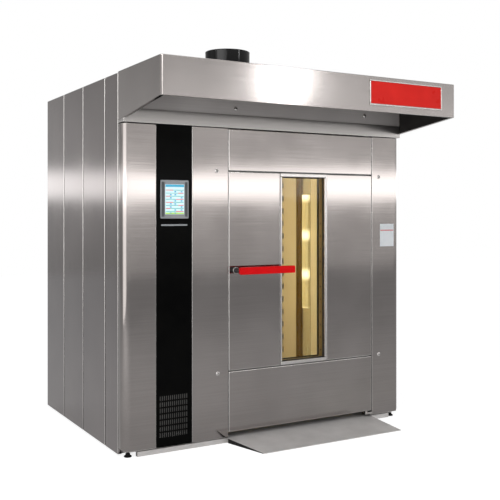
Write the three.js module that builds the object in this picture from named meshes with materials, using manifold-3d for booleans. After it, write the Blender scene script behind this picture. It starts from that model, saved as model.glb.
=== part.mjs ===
// Rotating rack oven: a free-standing bakery oven that turns a hanging rack of trays in hot air.
// Shop axes: x runs from the left side, y from the face of the closed door towards the back,
// z up from the floor. All lengths are millimetres.

import * as THREE from 'three';
import { mergeVertices } from 'three/addons/utils/BufferGeometryUtils.js';
import Module from 'manifold-3d';

const wasm = await Module();
wasm.setup();

// ---------------------------------------------------------------- driving dimensions

// Casing
const bodyWidth = 2100;
const bodyDepth = 1560;
const casingTop = 2300;
const sheet = 2; // casing sheet
const trayDepth = 25; // returned edges of the casing panels
const seam = 2; // open joint line between two panels
const seat = 0.3; // gap left between two pieces that touch
const cornerRadius = 50; // rounded front corners of the casing
const cornerReturn = 80; // how far the front corners reach round the sides
const narrowSidePanel = 226; // first side panel behind the corner
const wideSidePanels = 3;
const backPanels = 2;
const roofPanels = 2;
const sidePanelBottom = 5;
const frontPanelBottom = 40;
const panelToHeader = 4; // open line under the header strip

// Front, from left to right
const leftCabinetWidth = 212;
const fasciaWidth = 235;
const rightCabinetWidth = 252;
const doorSideGap = 3; // between the right cabinet and the door
const pillarWidth = 249;
const doorGap = 2; // between the door and the pillar on its hinge side
const frontRecess = 110; // from the door face back to the chamber's front frame

// Base
const footHeight = 30;
const footRadius = 24;
const railSize = 40;
const crossBarHeight = 22;
const crossBarWidth = 60;
const toeRailDepth = 25;
const toeRailBottom = 3;
const toeRailSetback = 8;

// Header over the door and hood
const headerStripHeight = 82;
const headerStripProud = 6;
const hoodReach = 550;
const hoodSheet = 3;
const hoodHeight = 217; // at the front
const hoodRise = 76; // of the lower edge, from the body to the front
const hoodToStrip = 9; // the header strip's top below the hood's front edge
const hoodCornerRadius = 25;
const hoodLip = 18;
const collarCentreX = 530;
const collarCentreY = -310;
const collarRadius = 130;
const collarWall = 3;
const collarHeight = 95;
const collarFlange = 14;

// Baking chamber
const floorTop = 45;
const chamberToDoor = 6; // the chamber's left wall stands this far left of the door's edge
const casingToChamber = 205; // right casing side to the chamber's right wall
const rearWallDepth = 160; // casing back to the chamber
const chamberToHeader = 2; // the chamber's top below the header strip
const liningSheet = 2;
const ductWidth = 98;
const partitionThickness = 60;
const ceilingThickness = 70;
const frontFrameThickness = 60;
const entryJamb = 105; // chamber wall to the doorway, at both sides
const entryHead = 60; // chamber top to the doorway
const slotWidth = 16;
const slotHeight = 48;
const slotPitch = 105;
const slotTopMargin = 120; // least height over the top row of slots
const slotColumnPitch = 262;
const slotColumns = 4;
const lastSlotColumn = 166; // from the rear wall to the last column of slots
const lowestSlot = 190;
const shutterLip = 10; // folded lip over each slot
const lampWidth = 80;
const lampDepth = 30;
const lampHeight = 900;
const lampBottom = 700;
const lampFromBack = 520;

// Rack drive
const driveShaftRadius = 20;
const carrierSpan = 700;
const carrierBarWidth = 60;
const carrierBarHeight = 26;
const carrierBarDrop = 94; // the bar's underside below the chamber's top
const hookDrop = 84;
const hookThickness = 12;
const hookLip = 46;
const gearboxSize = 170;
const gearboxHeight = 120;
const driveMotorRadius = 62;
const driveMotorLength = 230;

// Heater and fan in the left compartment
const chestWidth = 300;
const chestDepth = 480;
const chestBottom = 560;
const chestHeight = 940;
const chestWall = 30;
const chestFront = 560;
const portWidth = 260;
const portHeight = 180;
const impellerRadius = 112;
const impellerHeight = 95;
const impellerTopGap = 60; // under the lid of the heater chest
const bladeCount = 10;
const bladeThickness = 3;
const fanShaftRadius = 11;
const fanMotorRadius = 85;
const fanMotorHeight = 230;
const heaterTubeRadius = 8;
const heaterRows = 5;
const heaterRowPitch = 60;
const heaterTubeSpread = 150;

// Door
const doorBottom = 68;
const skinDepth = 22;
const coreBack = 80;
const linerBack = 90;
const coreInset = 6; // core stands back from the edge of the skins
const lowerSeam = 454;
const topSkinHeight = 269;
const windowFromLeft = 400; // from the door's left edge
const windowWidth = 340;
const windowBottom = 480;
const windowToSeam = 26; // window top below the joint under the top skin
const trimWidth = 12;
const trimHeight = 23;
const glassThickness = 6;
const glassSetback = 25;
const glassRebate = 6; // how far the panes reach past the window opening
const gasketWidth = 22;
const gasketDepth = 16.7;
const gasketOverlap = 26; // how far the seal's outer edge lies outside the chamber entry
const wiperGap = 1; // between the seal's bottom lip and the sill
const hingeFromEdge = 40;
const hingeSetback = 10;
const hingePinRadius = 6;
const hingePinGrip = 36; // pin length inside the door
const hingePlate = 14;
const upperHingeReach = 60; // the upper hinge plate's reach to the right of its pin

// Handle
const spindleFromEdge = 54; // from the door's left edge
const spindleZ = 1090;
const spindleRadius = 11;
const hubRadius = 36;
const hubHeight = 60;
const leverLength = 411;
const leverHeight = 47;
const leverThickness = 25;
const leverTail = 15; // lever end beyond the spindle
const camReach = 38;
const camThickness = 8;

// Controls on the front
const panelLeft = 235;
const panelWidth = 187;
const panelBottom = 1420;
const panelHeight = 235;
const panelProud = 12;
const panelHousingDepth = 55; // behind the fascia's face
const screenMarginX = 30;
const screenMarginZ = 26;
const screenThickness = 4;
const grilleLeft = 235;
const grilleBottom = 98;
const grilleRows = 7;
const grilleRowPitch = 37;
const grilleSlots = 14;
const grilleSlotPitch = 13.6;
const grilleSlotWidth = 6;
const grilleSlotHeight = 28;

// Entry ramp
const rampReach = 310;
const rampRearTop = 30;
const rampFrontTop = 4;
const rampLeftTaper = 75;
const rampPlate = 4;
const rampSolidTip = 60; // the ramp is solid this far back from its front edge

// ---------------------------------------------------------------- sizes that follow

const rightSide = bodyWidth;
const innerLeft = trayDepth + seat; // behind the left casing panels
const innerRight = bodyWidth - trayDepth - seat;
const innerBack = bodyDepth - trayDepth - seat;
const innerTop = casingTop - trayDepth - seat;
const cornerKnee = Math.max(cornerRadius, trayDepth + sheet); // inner bend of the corner panels
const crossBarBottom = footHeight - crossBarHeight;
const railTop = footHeight + railSize;
const fasciaLeft = leftCabinetWidth + seam;
const rightCabinetLeft = fasciaLeft + fasciaWidth + seam;
const rightCabinetRight = rightCabinetLeft + rightCabinetWidth;
const doorLeft = rightCabinetRight + doorSideGap;
const pillarLeft = bodyWidth - pillarWidth;
const doorRight = pillarLeft - doorGap;
const hoodFrontBottom = casingTop - hoodHeight;
const hoodBackBottom = hoodFrontBottom - hoodRise;
const headerStripTop = hoodFrontBottom - hoodToStrip;
const headerStripBottom = headerStripTop - headerStripHeight;
const frontPanelTop = headerStripBottom - panelToHeader;
const doorTop = frontPanelTop;
const upperSeam = doorTop - topSkinHeight;
const windowLeft = doorLeft + windowFromLeft;
const windowRight = windowLeft + windowWidth;
const windowTop = upperSeam - windowToSeam;
const spindleX = doorLeft + spindleFromEdge;
const chamberLeft = doorLeft - chamberToDoor;
const chamberRight = bodyWidth - casingToChamber;
const chamberBack = bodyDepth - rearWallDepth;
const chamberTop = headerStripBottom - chamberToHeader;
const entryLeft = chamberLeft + entryJamb;
const entryRight = chamberRight - entryJamb;
const entryTop = chamberTop - entryHead;
const slotRows = Math.floor((chamberTop - slotTopMargin - lowestSlot - slotHeight) / slotPitch) + 1;
const carrierBarBottom = chamberTop - carrierBarDrop;
const frameBack = frontRecess + frontFrameThickness;
const partitionRight = chamberLeft - liningSheet - ductWidth;
const partitionLeft = partitionRight - partitionThickness;
const rightWallLeft = chamberRight + liningSheet + ductWidth;
const ceilingTop = chamberTop + ceilingThickness;
const turnX = (chamberLeft + chamberRight) / 2;
const turnY = (frameBack + chamberBack) / 2;
const doorInner = skinDepth + seat;
const coreLeft = doorLeft + coreInset;
const coreRight = doorRight - coreInset;
const hingeX = doorRight - hingeFromEdge;
const hingeY = hingeSetback;

// ---------------------------------------------------------------- solid tools

// A closed mesh geometry as a solid that can be joined and cut.
function toSolid(geometry) {
  const bare = geometry.clone();
  bare.deleteAttribute('normal');
  bare.deleteAttribute('uv');
  const merged = mergeVertices(bare, 1e-4);
  return new wasm.Manifold(new wasm.Mesh({
    numProp: 3,
    vertProperties: new Float32Array(merged.attributes.position.array),
    triVerts: new Uint32Array(merged.index.array),
  }));
}

function toGeometry(solid) {
  const mesh = solid.getMesh();
  const geometry = new THREE.BufferGeometry();
  geometry.setAttribute('position', new THREE.BufferAttribute(new Float32Array(mesh.vertProperties), 3));
  geometry.setIndex(new THREE.BufferAttribute(new Uint32Array(mesh.triVerts), 1));
  geometry.computeVertexNormals();
  return geometry;
}

function join(solids) {
  return solids.reduce((whole, next) => whole.add(next));
}

function cut(solid, tools) {
  return tools.reduce((rest, tool) => rest.subtract(tool), solid);
}

function block([x0, x1], [y0, y1], [z0, z1]) {
  const geometry = new THREE.BoxGeometry(x1 - x0, y1 - y0, z1 - z0);
  geometry.translate((x0 + x1) / 2, (y0 + y1) / 2, (z0 + z1) / 2);
  return toSolid(geometry);
}

// Plan outlines are drawn in x and y, side outlines in y and z, front outlines in z and x.
const standUp = new THREE.Matrix4();
const layAlongX = new THREE.Matrix4().makeBasis(
  new THREE.Vector3(0, 1, 0), new THREE.Vector3(0, 0, 1), new THREE.Vector3(1, 0, 0));
const layAlongY = new THREE.Matrix4().makeBasis(
  new THREE.Vector3(0, 0, 1), new THREE.Vector3(1, 0, 0), new THREE.Vector3(0, 1, 0));

function extrude(shape, [low, high], turn, curveSegments = 8) {
  const settings = { depth: high - low, bevelEnabled: false, curveSegments };
  const geometry = new THREE.ExtrudeGeometry(shape, settings);
  geometry.translate(0, 0, low);
  geometry.applyMatrix4(turn);
  return toSolid(geometry);
}

function outline(points) {
  return new THREE.Shape(points.map(([a, b]) => new THREE.Vector2(a, b)));
}

function alongX(sidePoints, span) {
  return extrude(outline(sidePoints), span, layAlongX);
}

function alongY(frontPoints, span) {
  return extrude(outline(frontPoints.map(([x, z]) => [z, x])), span, layAlongY);
}

function alongZ(planPoints, span) {
  return extrude(outline(planPoints), span, standUp);
}

// An upright rectangle with rounded corners in the x-z plane.
function roundedPlate([x0, x1], span, [z0, z1], radius, curveSegments = 3) {
  const shape = new THREE.Shape();
  shape.moveTo(z0 + radius, x0);
  shape.lineTo(z1 - radius, x0);
  shape.absarc(z1 - radius, x0 + radius, radius, -Math.PI / 2, 0, false);
  shape.lineTo(z1, x1 - radius);
  shape.absarc(z1 - radius, x1 - radius, radius, 0, Math.PI / 2, false);
  shape.lineTo(z0 + radius, x1);
  shape.absarc(z0 + radius, x1 - radius, radius, Math.PI / 2, Math.PI, false);
  shape.lineTo(z0, x0 + radius);
  shape.absarc(z0 + radius, x0 + radius, radius, Math.PI, Math.PI * 1.5, false);
  return extrude(shape, span, layAlongY, curveSegments);
}

function cylinder(radius, length, sides) {
  return new THREE.CylinderGeometry(radius, radius, length, sides);
}

function uprightRod(x, y, radius, [z0, z1], sides = 20) {
  const geometry = cylinder(radius, z1 - z0, sides);
  geometry.rotateX(Math.PI / 2);
  geometry.translate(x, y, (z0 + z1) / 2);
  return toSolid(geometry);
}

function crossRod(y, z, radius, [x0, x1], sides = 20) {
  const geometry = cylinder(radius, x1 - x0, sides);
  geometry.rotateZ(Math.PI / 2);
  geometry.translate((x0 + x1) / 2, y, z);
  return toSolid(geometry);
}

function depthRod(x, z, radius, [y0, y1], sides = 20) {
  const geometry = cylinder(radius, y1 - y0, sides);
  geometry.translate(x, (y0 + y1) / 2, z);
  return toSolid(geometry);
}

// A turned shape about an upright axis. The profile gives radius and height.
function turned(x, y, profile, sides = 24) {
  const points = profile.map(([radius, height]) => new THREE.Vector2(radius, height));
  const geometry = new THREE.LatheGeometry(points, sides);
  geometry.rotateX(Math.PI / 2);
  geometry.translate(x, y, 0);
  return toSolid(geometry);
}

// A folded sheet tray: one face with four returned edges, open on the side given by axis and sign.
function tray(spans, axis, sign) {
  const hollow = spans.map(([low, high]) => [low + sheet, high - sheet]);
  const openEnd = sign > 0 ? 1 : 0;
  hollow[axis][openEnd] = spans[axis][openEnd] + sign * sheet;
  return block(...spans).subtract(block(...hollow));
}

// A flat rectangular ring in the x-z plane.
function ring(outerX, span, outerZ, innerX, innerZ) {
  const through = [span[0] - 1, span[1] + 1];
  return block(outerX, span, outerZ).subtract(block(innerX, through, innerZ));
}

function mirrored(solid) {
  return solid.mirror([1, 0, 0]).translate([bodyWidth, 0, 0]);
}

// ---------------------------------------------------------------- finishes and the model group

const finishes = {
  satinSteel: { color: 0xa9a49c, roughness: 0.38, metalness: 0.9 },
  brightSteel: { color: 0xc9c6c0, roughness: 0.25, metalness: 0.95 },
  liningSteel: { color: 0xb89a6a, roughness: 0.35, metalness: 0.9 },
  blackSteel: { color: 0x17181a, roughness: 0.25, metalness: 0.4 },
  blackGloss: { color: 0x0d0e10, roughness: 0.12, metalness: 0 },
  darkPaint: { color: 0x2c2e31, roughness: 0.6, metalness: 0.1 },
  greyPaint: { color: 0x6f7275, roughness: 0.6, metalness: 0.1 },
  insulation: { color: 0x8a8b88, roughness: 0.7, metalness: 0.3 },
  redPlastic: { color: 0xb5202b, roughness: 0.35, metalness: 0 },
  rubber: { color: 0x1c1b1a, roughness: 0.85, metalness: 0 },
  silver: { color: 0xb9bcc0, roughness: 0.3, metalness: 0.8 },
  screenGlass: { color: 0x1d2733, roughness: 0.08, metalness: 0 },
  clearGlass: { color: 0xd9e2df, roughness: 0.05, metalness: 0 },
  lampGlass: { color: 0xffe3a8, roughness: 0.2, metalness: 0 },
};

const oven = new THREE.Group();
oven.name = 'rotating_rack_oven';
const shop = new THREE.Group();
shop.position.set(-bodyWidth / 2, -(bodyDepth - hoodReach) / 2, 0);
oven.add(shop);

function addPiece(name, solid, finish) {
  const piece = new THREE.Mesh(toGeometry(solid), new THREE.MeshStandardMaterial(finishes[finish]));
  piece.name = name;
  shop.add(piece);
}

// ---------------------------------------------------------------- base

function baseFrame() {
  const low = [crossBarBottom, footHeight];
  const high = [footHeight, railTop];
  const wide = [innerLeft, innerRight];
  const barFronts = [
    frontRecess,
    frontRecess + (chamberBack - frontRecess) / 3,
    frontRecess + (chamberBack - frontRecess) * 2 / 3,
    chamberBack,
  ];
  const crossBars = barFronts.map((y) => block(wide, [y, y + crossBarWidth], low));
  const railFront = trayDepth + seat;
  const sides = [
    block([innerLeft, innerLeft + railSize], [cornerKnee + seat, innerBack], high),
    block([innerRight - railSize, innerRight], [cornerKnee + seat, innerBack], high),
  ];
  const rear = block(wide, [innerBack - railSize, innerBack], high);
  const front = [railFront, railFront + railSize];
  const leftFront = block([cornerKnee + seat, rightCabinetRight - sheet - seat], front, high);
  const rightFront = block([pillarLeft + sheet + seat, rightSide - cornerKnee - seat], front, high);
  // Toe rails close the gap between the front panels and the shop floor.
  const toeY = [toeRailSetback, toeRailSetback + toeRailDepth];
  const toeZ = [toeRailBottom, footHeight + sheet];
  const footClear = innerLeft + footRadius * 2 + railSize / 2;
  const toes = [
    block([footClear, rightCabinetRight], toeY, toeZ),
    block([pillarLeft, bodyWidth - footClear], toeY, toeZ),
  ];
  return join([...crossBars, ...sides, rear, leftFront, rightFront, ...toes]);
}

const footX = innerLeft + footRadius;
const footRows = [cornerKnee, innerBack - footRadius - seat];
const footPlaces = footRows.flatMap((y) => [[footX, y], [bodyWidth - footX, y]]);

function levellingFoot([x, y]) {
  const top = footHeight - seat;
  return turned(x, y, [
    [0, 0], [footRadius, 0], [footRadius, 6], [footRadius * 0.6, 11],
    [footRadius * 0.6, 20], [footRadius * 0.36, 20], [footRadius * 0.36, top], [0, top],
  ], 14);
}

addPiece('base_frame', baseFrame(), 'satinSteel');
footPlaces.forEach((place, index) => {
  addPiece(`levelling_foot_${index + 1}`, levellingFoot(place), 'rubber');
});

// ---------------------------------------------------------------- casing panels

const sideSeams = [cornerReturn, cornerReturn + narrowSidePanel];
const widePitch = (bodyDepth - cornerReturn - narrowSidePanel) / wideSidePanels;
for (let index = 1; index <= wideSidePanels; index += 1) {
  sideSeams.push(cornerReturn + narrowSidePanel + index * widePitch);
}

function sidePanel(index) {
  const front = sideSeams[index] + seam / 2;
  const back = index === sideSeams.length - 2 ? bodyDepth : sideSeams[index + 1] - seam / 2;
  return tray([[0, trayDepth], [front, back], [sidePanelBottom, casingTop]], 0, 1);
}

for (let index = 0; index < sideSeams.length - 1; index += 1) {
  addPiece(`left_side_panel_${index + 1}`, sidePanel(index), 'satinSteel');
  addPiece(`right_side_panel_${index + 1}`, mirrored(sidePanel(index)), 'satinSteel');
}

const backPitch = (innerRight - innerLeft + seam) / backPanels;
for (let index = 0; index < backPanels; index += 1) {
  const left = innerLeft + index * backPitch;
  const spanX = [left, left + backPitch - seam];
  const spans = [spanX, [bodyDepth - trayDepth, bodyDepth], [sidePanelBottom, casingTop]];
  addPiece(`back_panel_${index + 1}`, tray(spans, 1, -1), 'satinSteel');
}

const roofFront = cornerReturn + seat;
const roofBack = bodyDepth - trayDepth - seat;
const roofPitch = (roofBack - roofFront + seam) / roofPanels;
for (let index = 0; index < roofPanels; index += 1) {
  const front = roofFront + index * roofPitch;
  const spanY = [front, front + roofPitch - seam];
  const spans = [[innerLeft, innerRight], spanY, [casingTop - trayDepth, casingTop]];
  addPiece(`roof_panel_${index + 1}`, tray(spans, 2, -1), 'satinSteel');
}

// Plan of a front corner panel: a rounded corner with a front leg and a side leg.
function cornerPlan(inset, frontEnd, sideEnd, inner, knee) {
  const shape = new THREE.Shape();
  shape.moveTo(frontEnd, inset);
  shape.lineTo(frontEnd, inner);
  shape.lineTo(knee, inner);
  shape.lineTo(inner, knee);
  shape.lineTo(inner, sideEnd);
  shape.lineTo(inset, sideEnd);
  shape.lineTo(inset, cornerRadius);
  shape.absarc(cornerRadius, cornerRadius, cornerRadius - inset, Math.PI, Math.PI * 1.5, false);
  return shape;
}

function cornerPanel(width) {
  const sideEnd = cornerReturn - seam / 2;
  const outer = cornerPlan(0, width, sideEnd, trayDepth, cornerKnee);
  const hollow = cornerPlan(sheet, width - sheet, sideEnd - sheet, trayDepth + sheet, cornerKnee + sheet);
  const heights = [frontPanelBottom, frontPanelTop];
  const inside = [frontPanelBottom + sheet, frontPanelTop - sheet];
  return extrude(outer, heights, standUp, 6).subtract(extrude(hollow, inside, standUp, 6));
}

// A deep edge beside the door, folded over to sit on the chamber's front frame.
function doorJamb(faceX, foldTowards) {
  const ends = [faceX, faceX + foldTowards * sheet].sort((a, b) => a - b);
  const foot = [faceX, faceX + foldTowards * trayDepth].sort((a, b) => a - b);
  const back = frontRecess - seat;
  const heights = [frontPanelBottom, frontPanelTop];
  return block(ends, [0, back], heights).add(block(foot, [back - sheet, back], heights));
}

function controlFascia() {
  const spans = [[fasciaLeft, fasciaLeft + fasciaWidth], [0, trayDepth], [frontPanelBottom, frontPanelTop]];
  const through = [-1, sheet + 1];
  const tools = [block(
    [panelLeft + sheet * 6, panelLeft + panelWidth - sheet * 6], through,
    [panelBottom + sheet * 6, panelBottom + panelHeight - sheet * 6])];
  for (let row = 0; row < grilleRows; row += 1) {
    const bottom = grilleBottom + row * grilleRowPitch;
    for (let slot = 0; slot < grilleSlots; slot += 1) {
      const left = grilleLeft + slot * grilleSlotPitch;
      tools.push(block([left, left + grilleSlotWidth], through, [bottom, bottom + grilleSlotHeight]));
    }
  }
  return cut(tray(spans, 1, 1), [join(tools)]);
}

const rightCabinetSpans = [
  [rightCabinetLeft, rightCabinetRight], [0, trayDepth], [frontPanelBottom, frontPanelTop]];
addPiece('left_cabinet_panel', cornerPanel(leftCabinetWidth), 'satinSteel');
addPiece('control_fascia', controlFascia(), 'blackGloss');
addPiece('right_cabinet_panel',
  tray(rightCabinetSpans, 1, 1).add(doorJamb(rightCabinetRight, -1)), 'satinSteel');
addPiece('door_pillar',
  mirrored(cornerPanel(bodyWidth - pillarLeft)).add(doorJamb(pillarLeft, 1)), 'satinSteel');

// ---------------------------------------------------------------- header, hood and collar

// Height of the hood's lower edge, which rises from the body towards the front.
function hoodEdge(y) {
  const rise = (hoodFrontBottom - hoodBackBottom) / (hoodReach + cornerReturn);
  return hoodBackBottom + (cornerReturn - y) * rise;
}

const hingePinHole = (heights, gap) => uprightRod(hingeX, hingeY, hingePinRadius + gap, heights, 16);

function headerStrip() {
  const front = -headerStripProud;
  const back = frontRecess - seat;
  const betweenHoodSides = [hoodSheet + seat, rightSide - hoodSheet - seat];
  const face = block(betweenHoodSides, [front, front + sheet], [headerStripBottom, headerStripTop]);
  const topEdge = block(betweenHoodSides, [front, trayDepth], [headerStripTop - sheet, headerStripTop]);
  const soffit = block([innerLeft, innerRight], [front, back],
    [headerStripBottom, headerStripBottom + sheet]);
  const fold = block([innerLeft, innerRight], [back - sheet, back],
    [headerStripBottom, headerStripBottom + trayDepth]);
  const sideEnd = cornerReturn - seam / 2;
  const cornerSide = alongX([
    [front, headerStripBottom], [sideEnd, headerStripBottom],
    [sideEnd, hoodEdge(sideEnd) - seat], [front, hoodEdge(front) - seat],
  ], [0, innerLeft + sheet]);
  const pinHole = hingePinHole([headerStripBottom - 1, headerStripBottom + sheet + 1], seat * 2);
  return join([face, topEdge, soffit, fold, cornerSide, mirrored(cornerSide)]).subtract(pinHole);
}

function hoodPlan(inset, back) {
  const shape = new THREE.Shape();
  const front = -hoodReach;
  const radius = hoodCornerRadius;
  shape.moveTo(inset, back);
  shape.lineTo(inset, front + radius);
  shape.absarc(radius, front + radius, radius - inset, Math.PI, Math.PI * 1.5, false);
  shape.lineTo(rightSide - radius, front + inset);
  shape.absarc(rightSide - radius, front + radius, radius - inset, Math.PI * 1.5, Math.PI * 2, false);
  shape.lineTo(rightSide - inset, back);
  return shape;
}

// An open-bottomed canopy: roof, front and two sides whose lower edges rise forward, with turned-in lips.
function hoodShell() {
  const back = cornerReturn - seat;
  const lowest = hoodBackBottom - 1;
  const outside = extrude(hoodPlan(0, back), [lowest, casingTop], standUp, 6);
  const inside = extrude(hoodPlan(hoodSheet, back + 1), [lowest - 1, casingTop - hoodSheet], standUp, 6);
  const below = alongX([
    [back + 1, lowest - 2], [back + 1, hoodEdge(back + 1)],
    [-hoodReach - 1, hoodEdge(-hoodReach - 1)], [-hoodReach - 1, lowest - 2],
  ], [-1, rightSide + 1]);
  const lipStart = -headerStripProud - seat;
  const lipEnd = -hoodReach + hoodSheet;
  const sideLip = alongX([
    [lipStart, hoodEdge(lipStart)], [lipStart, hoodEdge(lipStart) + sheet],
    [lipEnd, hoodEdge(lipEnd) + sheet], [lipEnd, hoodEdge(lipEnd)],
  ], [sheet, hoodLip]);
  const frontLip = block([hoodCornerRadius, rightSide - hoodCornerRadius],
    [-hoodReach + sheet, -hoodReach + hoodLip], [hoodFrontBottom, hoodFrontBottom + sheet]);
  const bore = uprightRod(collarCentreX, collarCentreY, collarRadius - collarWall,
    [casingTop - hoodSheet - 1, casingTop + 1], 32);
  const cornerTrim = extrude(hoodPlan(0, back), [lowest, casingTop], standUp, 6);
  const lips = join([sideLip, mirrored(sideLip), frontLip]).intersect(cornerTrim);
  return cut(outside, [inside, below, bore]).add(lips);
}

function ventCollar() {
  const bottom = casingTop + seat;
  const top = casingTop + collarHeight;
  const inner = collarRadius - collarWall;
  return turned(collarCentreX, collarCentreY, [
    [inner, bottom], [collarRadius + collarFlange, bottom],
    [collarRadius + collarFlange, bottom + collarWall], [collarRadius, bottom + collarWall],
    [collarRadius, top], [inner, top], [inner, bottom],
  ], 32);
}

const headerFasciaSpans = [
  [hoodSheet + seat, rightSide - hoodSheet - seat], [0, trayDepth],
  [headerStripTop + seat, casingTop - hoodSheet - seat]];
addPiece('header_strip', headerStrip(), 'brightSteel');
addPiece('header_fascia', tray(headerFasciaSpans, 1, 1), 'satinSteel');
addPiece('hood_shell', hoodShell(), 'brightSteel');
addPiece('vent_collar', ventCollar(), 'blackSteel');

// ---------------------------------------------------------------- baking chamber

const chamberDepth = [frameBack + seat, chamberBack - seat];
const wallHeights = [footHeight + seat, chamberTop - seat];

// The space that the base rails take, with a small gap round them.
const railSpace = join([
  block([innerRight - railSize - seat, rightSide], [0, bodyDepth], [0, railTop + seat]),
  block([0, rightSide], [innerBack - railSize - seat, bodyDepth], [0, railTop + seat]),
]);

// An inner wall with rows of upright air slots, each with a folded lip that turns the air into the chamber.
function slottedWall(faceX, towardsChamber) {
  const thick = [faceX, faceX - towardsChamber * liningSheet].sort((a, b) => a - b);
  const plate = block(thick, chamberDepth, [floorTop + seat, chamberTop - seat]);
  const slots = [];
  const lips = [];
  const root = faceX - towardsChamber * liningSheet / 2;
  const tip = faceX + towardsChamber * shutterLip;
  for (let column = 0; column < slotColumns; column += 1) {
    const centre = chamberBack - lastSlotColumn - column * slotColumnPitch;
    const back = centre + slotWidth / 2;
    for (let row = 0; row < slotRows; row += 1) {
      const heights = [lowestSlot + row * slotPitch, lowestSlot + row * slotPitch + slotHeight];
      slots.push(block([thick[0] - 1, thick[1] + 1], [centre - slotWidth / 2, back], heights));
      const fold = [[root, back], [tip, back - slotWidth / 4], [root, back + liningSheet]];
      lips.push(alongZ(towardsChamber > 0 ? fold : [...fold].reverse(), heights));
    }
  }
  return cut(plate, [join(slots)]).add(join(lips));
}

function frontFrame() {
  const whole = ring([partitionLeft, innerRight], [frontRecess, frameBack], [footHeight + seat, innerTop],
    [entryLeft, entryRight], [floorTop, entryTop]);
  return whole.subtract(railSpace);
}

const lowerPortZ = chestBottom + chestWall + 20;
const chestTop = chestBottom + chestHeight;
const impellerTop = chestTop - chestWall - impellerTopGap;
const upperPortZ = impellerTop - impellerHeight / 2 - portHeight / 2;
const chestMiddleY = chestFront + chestDepth / 2;

function partition() {
  const wall = block([partitionLeft, partitionRight], chamberDepth, wallHeights);
  const through = [partitionLeft - 1, partitionRight + 1];
  const portY = [chestMiddleY - portWidth / 2, chestMiddleY + portWidth / 2];
  const ports = [lowerPortZ, upperPortZ].map((z) => block(through, portY, [z, z + portHeight]));
  return cut(wall, ports);
}

const bearingRadius = driveShaftRadius + 14;

function ceiling() {
  const slab = block([partitionLeft, innerRight], chamberDepth, [chamberTop, ceilingTop]);
  return slab.subtract(uprightRod(turnX, turnY, bearingRadius + seat, [chamberTop - 1, ceilingTop + 1], 24));
}

function chamberLamp() {
  const back = chamberRight - seat;
  const front = back - lampDepth;
  const middle = chamberBack - lampFromBack;
  const half = lampWidth / 2;
  const chamfer = lampDepth / 2;
  return alongZ([
    [back, middle - half], [back, middle + half], [front + chamfer, middle + half],
    [front, middle + half - chamfer], [front, middle - half + chamfer], [front + chamfer, middle - half],
  ], [lampBottom, lampBottom + lampHeight]);
}

addPiece('chamber_front_frame', frontFrame(), 'liningSteel');
addPiece('chamber_floor',
  block([partitionRight + seat, rightWallLeft - seat], chamberDepth, [footHeight + seat, floorTop]),
  'liningSteel');
addPiece('chamber_left_wall', slottedWall(chamberLeft, 1), 'liningSteel');
addPiece('chamber_right_wall', slottedWall(chamberRight, -1), 'liningSteel');
addPiece('chamber_rear_wall',
  block([partitionLeft, innerRight], [chamberBack, innerBack], [footHeight + seat, ceilingTop])
    .subtract(railSpace),
  'liningSteel');
addPiece('chamber_ceiling', ceiling(), 'liningSteel');
addPiece('heater_partition', partition(), 'insulation');
addPiece('insulated_right_wall',
  block([rightWallLeft, innerRight], chamberDepth, wallHeights).subtract(railSpace), 'insulation');
addPiece('chamber_lamp', chamberLamp(), 'lampGlass');

// ---------------------------------------------------------------- rack drive

const gearboxBottom = ceilingTop + seat;
const shaftTop = gearboxBottom + gearboxHeight * 0.8;

function gearMotor() {
  const half = gearboxSize / 2;
  const box = block([turnX - half, turnX + half], [turnY - half, turnY + half],
    [gearboxBottom, gearboxBottom + gearboxHeight]);
  const motorZ = gearboxBottom + driveMotorRadius + 4;
  const start = turnX + half - 1;
  const flange = crossRod(turnY, motorZ, driveMotorRadius + 3, [start, start + 13], 24);
  const motor = crossRod(turnY, motorZ, driveMotorRadius - 6, [start, start + driveMotorLength], 24);
  const cowl = crossRod(turnY, motorZ, driveMotorRadius, [start + driveMotorLength * 0.72,
    start + driveMotorLength], 24);
  const bore = uprightRod(turnX, turnY, driveShaftRadius + seat, [gearboxBottom - 1, shaftTop + seat], 24);
  return join([box, flange, motor, cowl]).subtract(bore);
}

const bearingFlangeBottom = chamberTop - seat - 12;

function carrierBearing() {
  const inner = driveShaftRadius + seat;
  const flange = bearingRadius + 26;
  return turned(turnX, turnY, [
    [inner, bearingFlangeBottom], [flange, bearingFlangeBottom], [flange, chamberTop - seat],
    [bearingRadius, chamberTop - seat], [bearingRadius, ceilingTop], [inner, ceilingTop],
    [inner, bearingFlangeBottom],
  ], 24);
}

// The turning head: a shaft, a hub and a cross bar with a hook at each end for the rack's top rail.
function rackCarrier() {
  const barTop = carrierBarBottom + carrierBarHeight;
  const half = carrierSpan / 2;
  const widthY = [turnY - carrierBarWidth / 2, turnY + carrierBarWidth / 2];
  const shaft = turned(turnX, turnY, [
    [0, carrierBarBottom], [driveShaftRadius * 2.2, carrierBarBottom], [driveShaftRadius * 2.2, barTop + 14],
    [driveShaftRadius, barTop + 34], [driveShaftRadius, shaftTop], [0, shaftTop],
  ], 24);
  const bar = block([turnX - half, turnX + half], widthY, [carrierBarBottom, barTop]);
  const hookBottom = carrierBarBottom - hookDrop;
  const hooks = [-1, 1].map((side) => {
    const outer = turnX + side * half;
    const profile = [
      [outer, carrierBarBottom + sheet], [outer, hookBottom], [outer - side * hookLip, hookBottom],
      [outer - side * hookLip, hookBottom + hookThickness * 2],
      [outer - side * (hookLip - hookThickness), hookBottom + hookThickness * 2],
      [outer - side * (hookLip - hookThickness), hookBottom + hookThickness],
      [outer - side * hookThickness, hookBottom + hookThickness],
      [outer - side * hookThickness, carrierBarBottom + sheet],
    ];
    return alongY(side > 0 ? profile.reverse() : profile, widthY);
  });
  return join([shaft, bar, ...hooks]);
}

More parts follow.
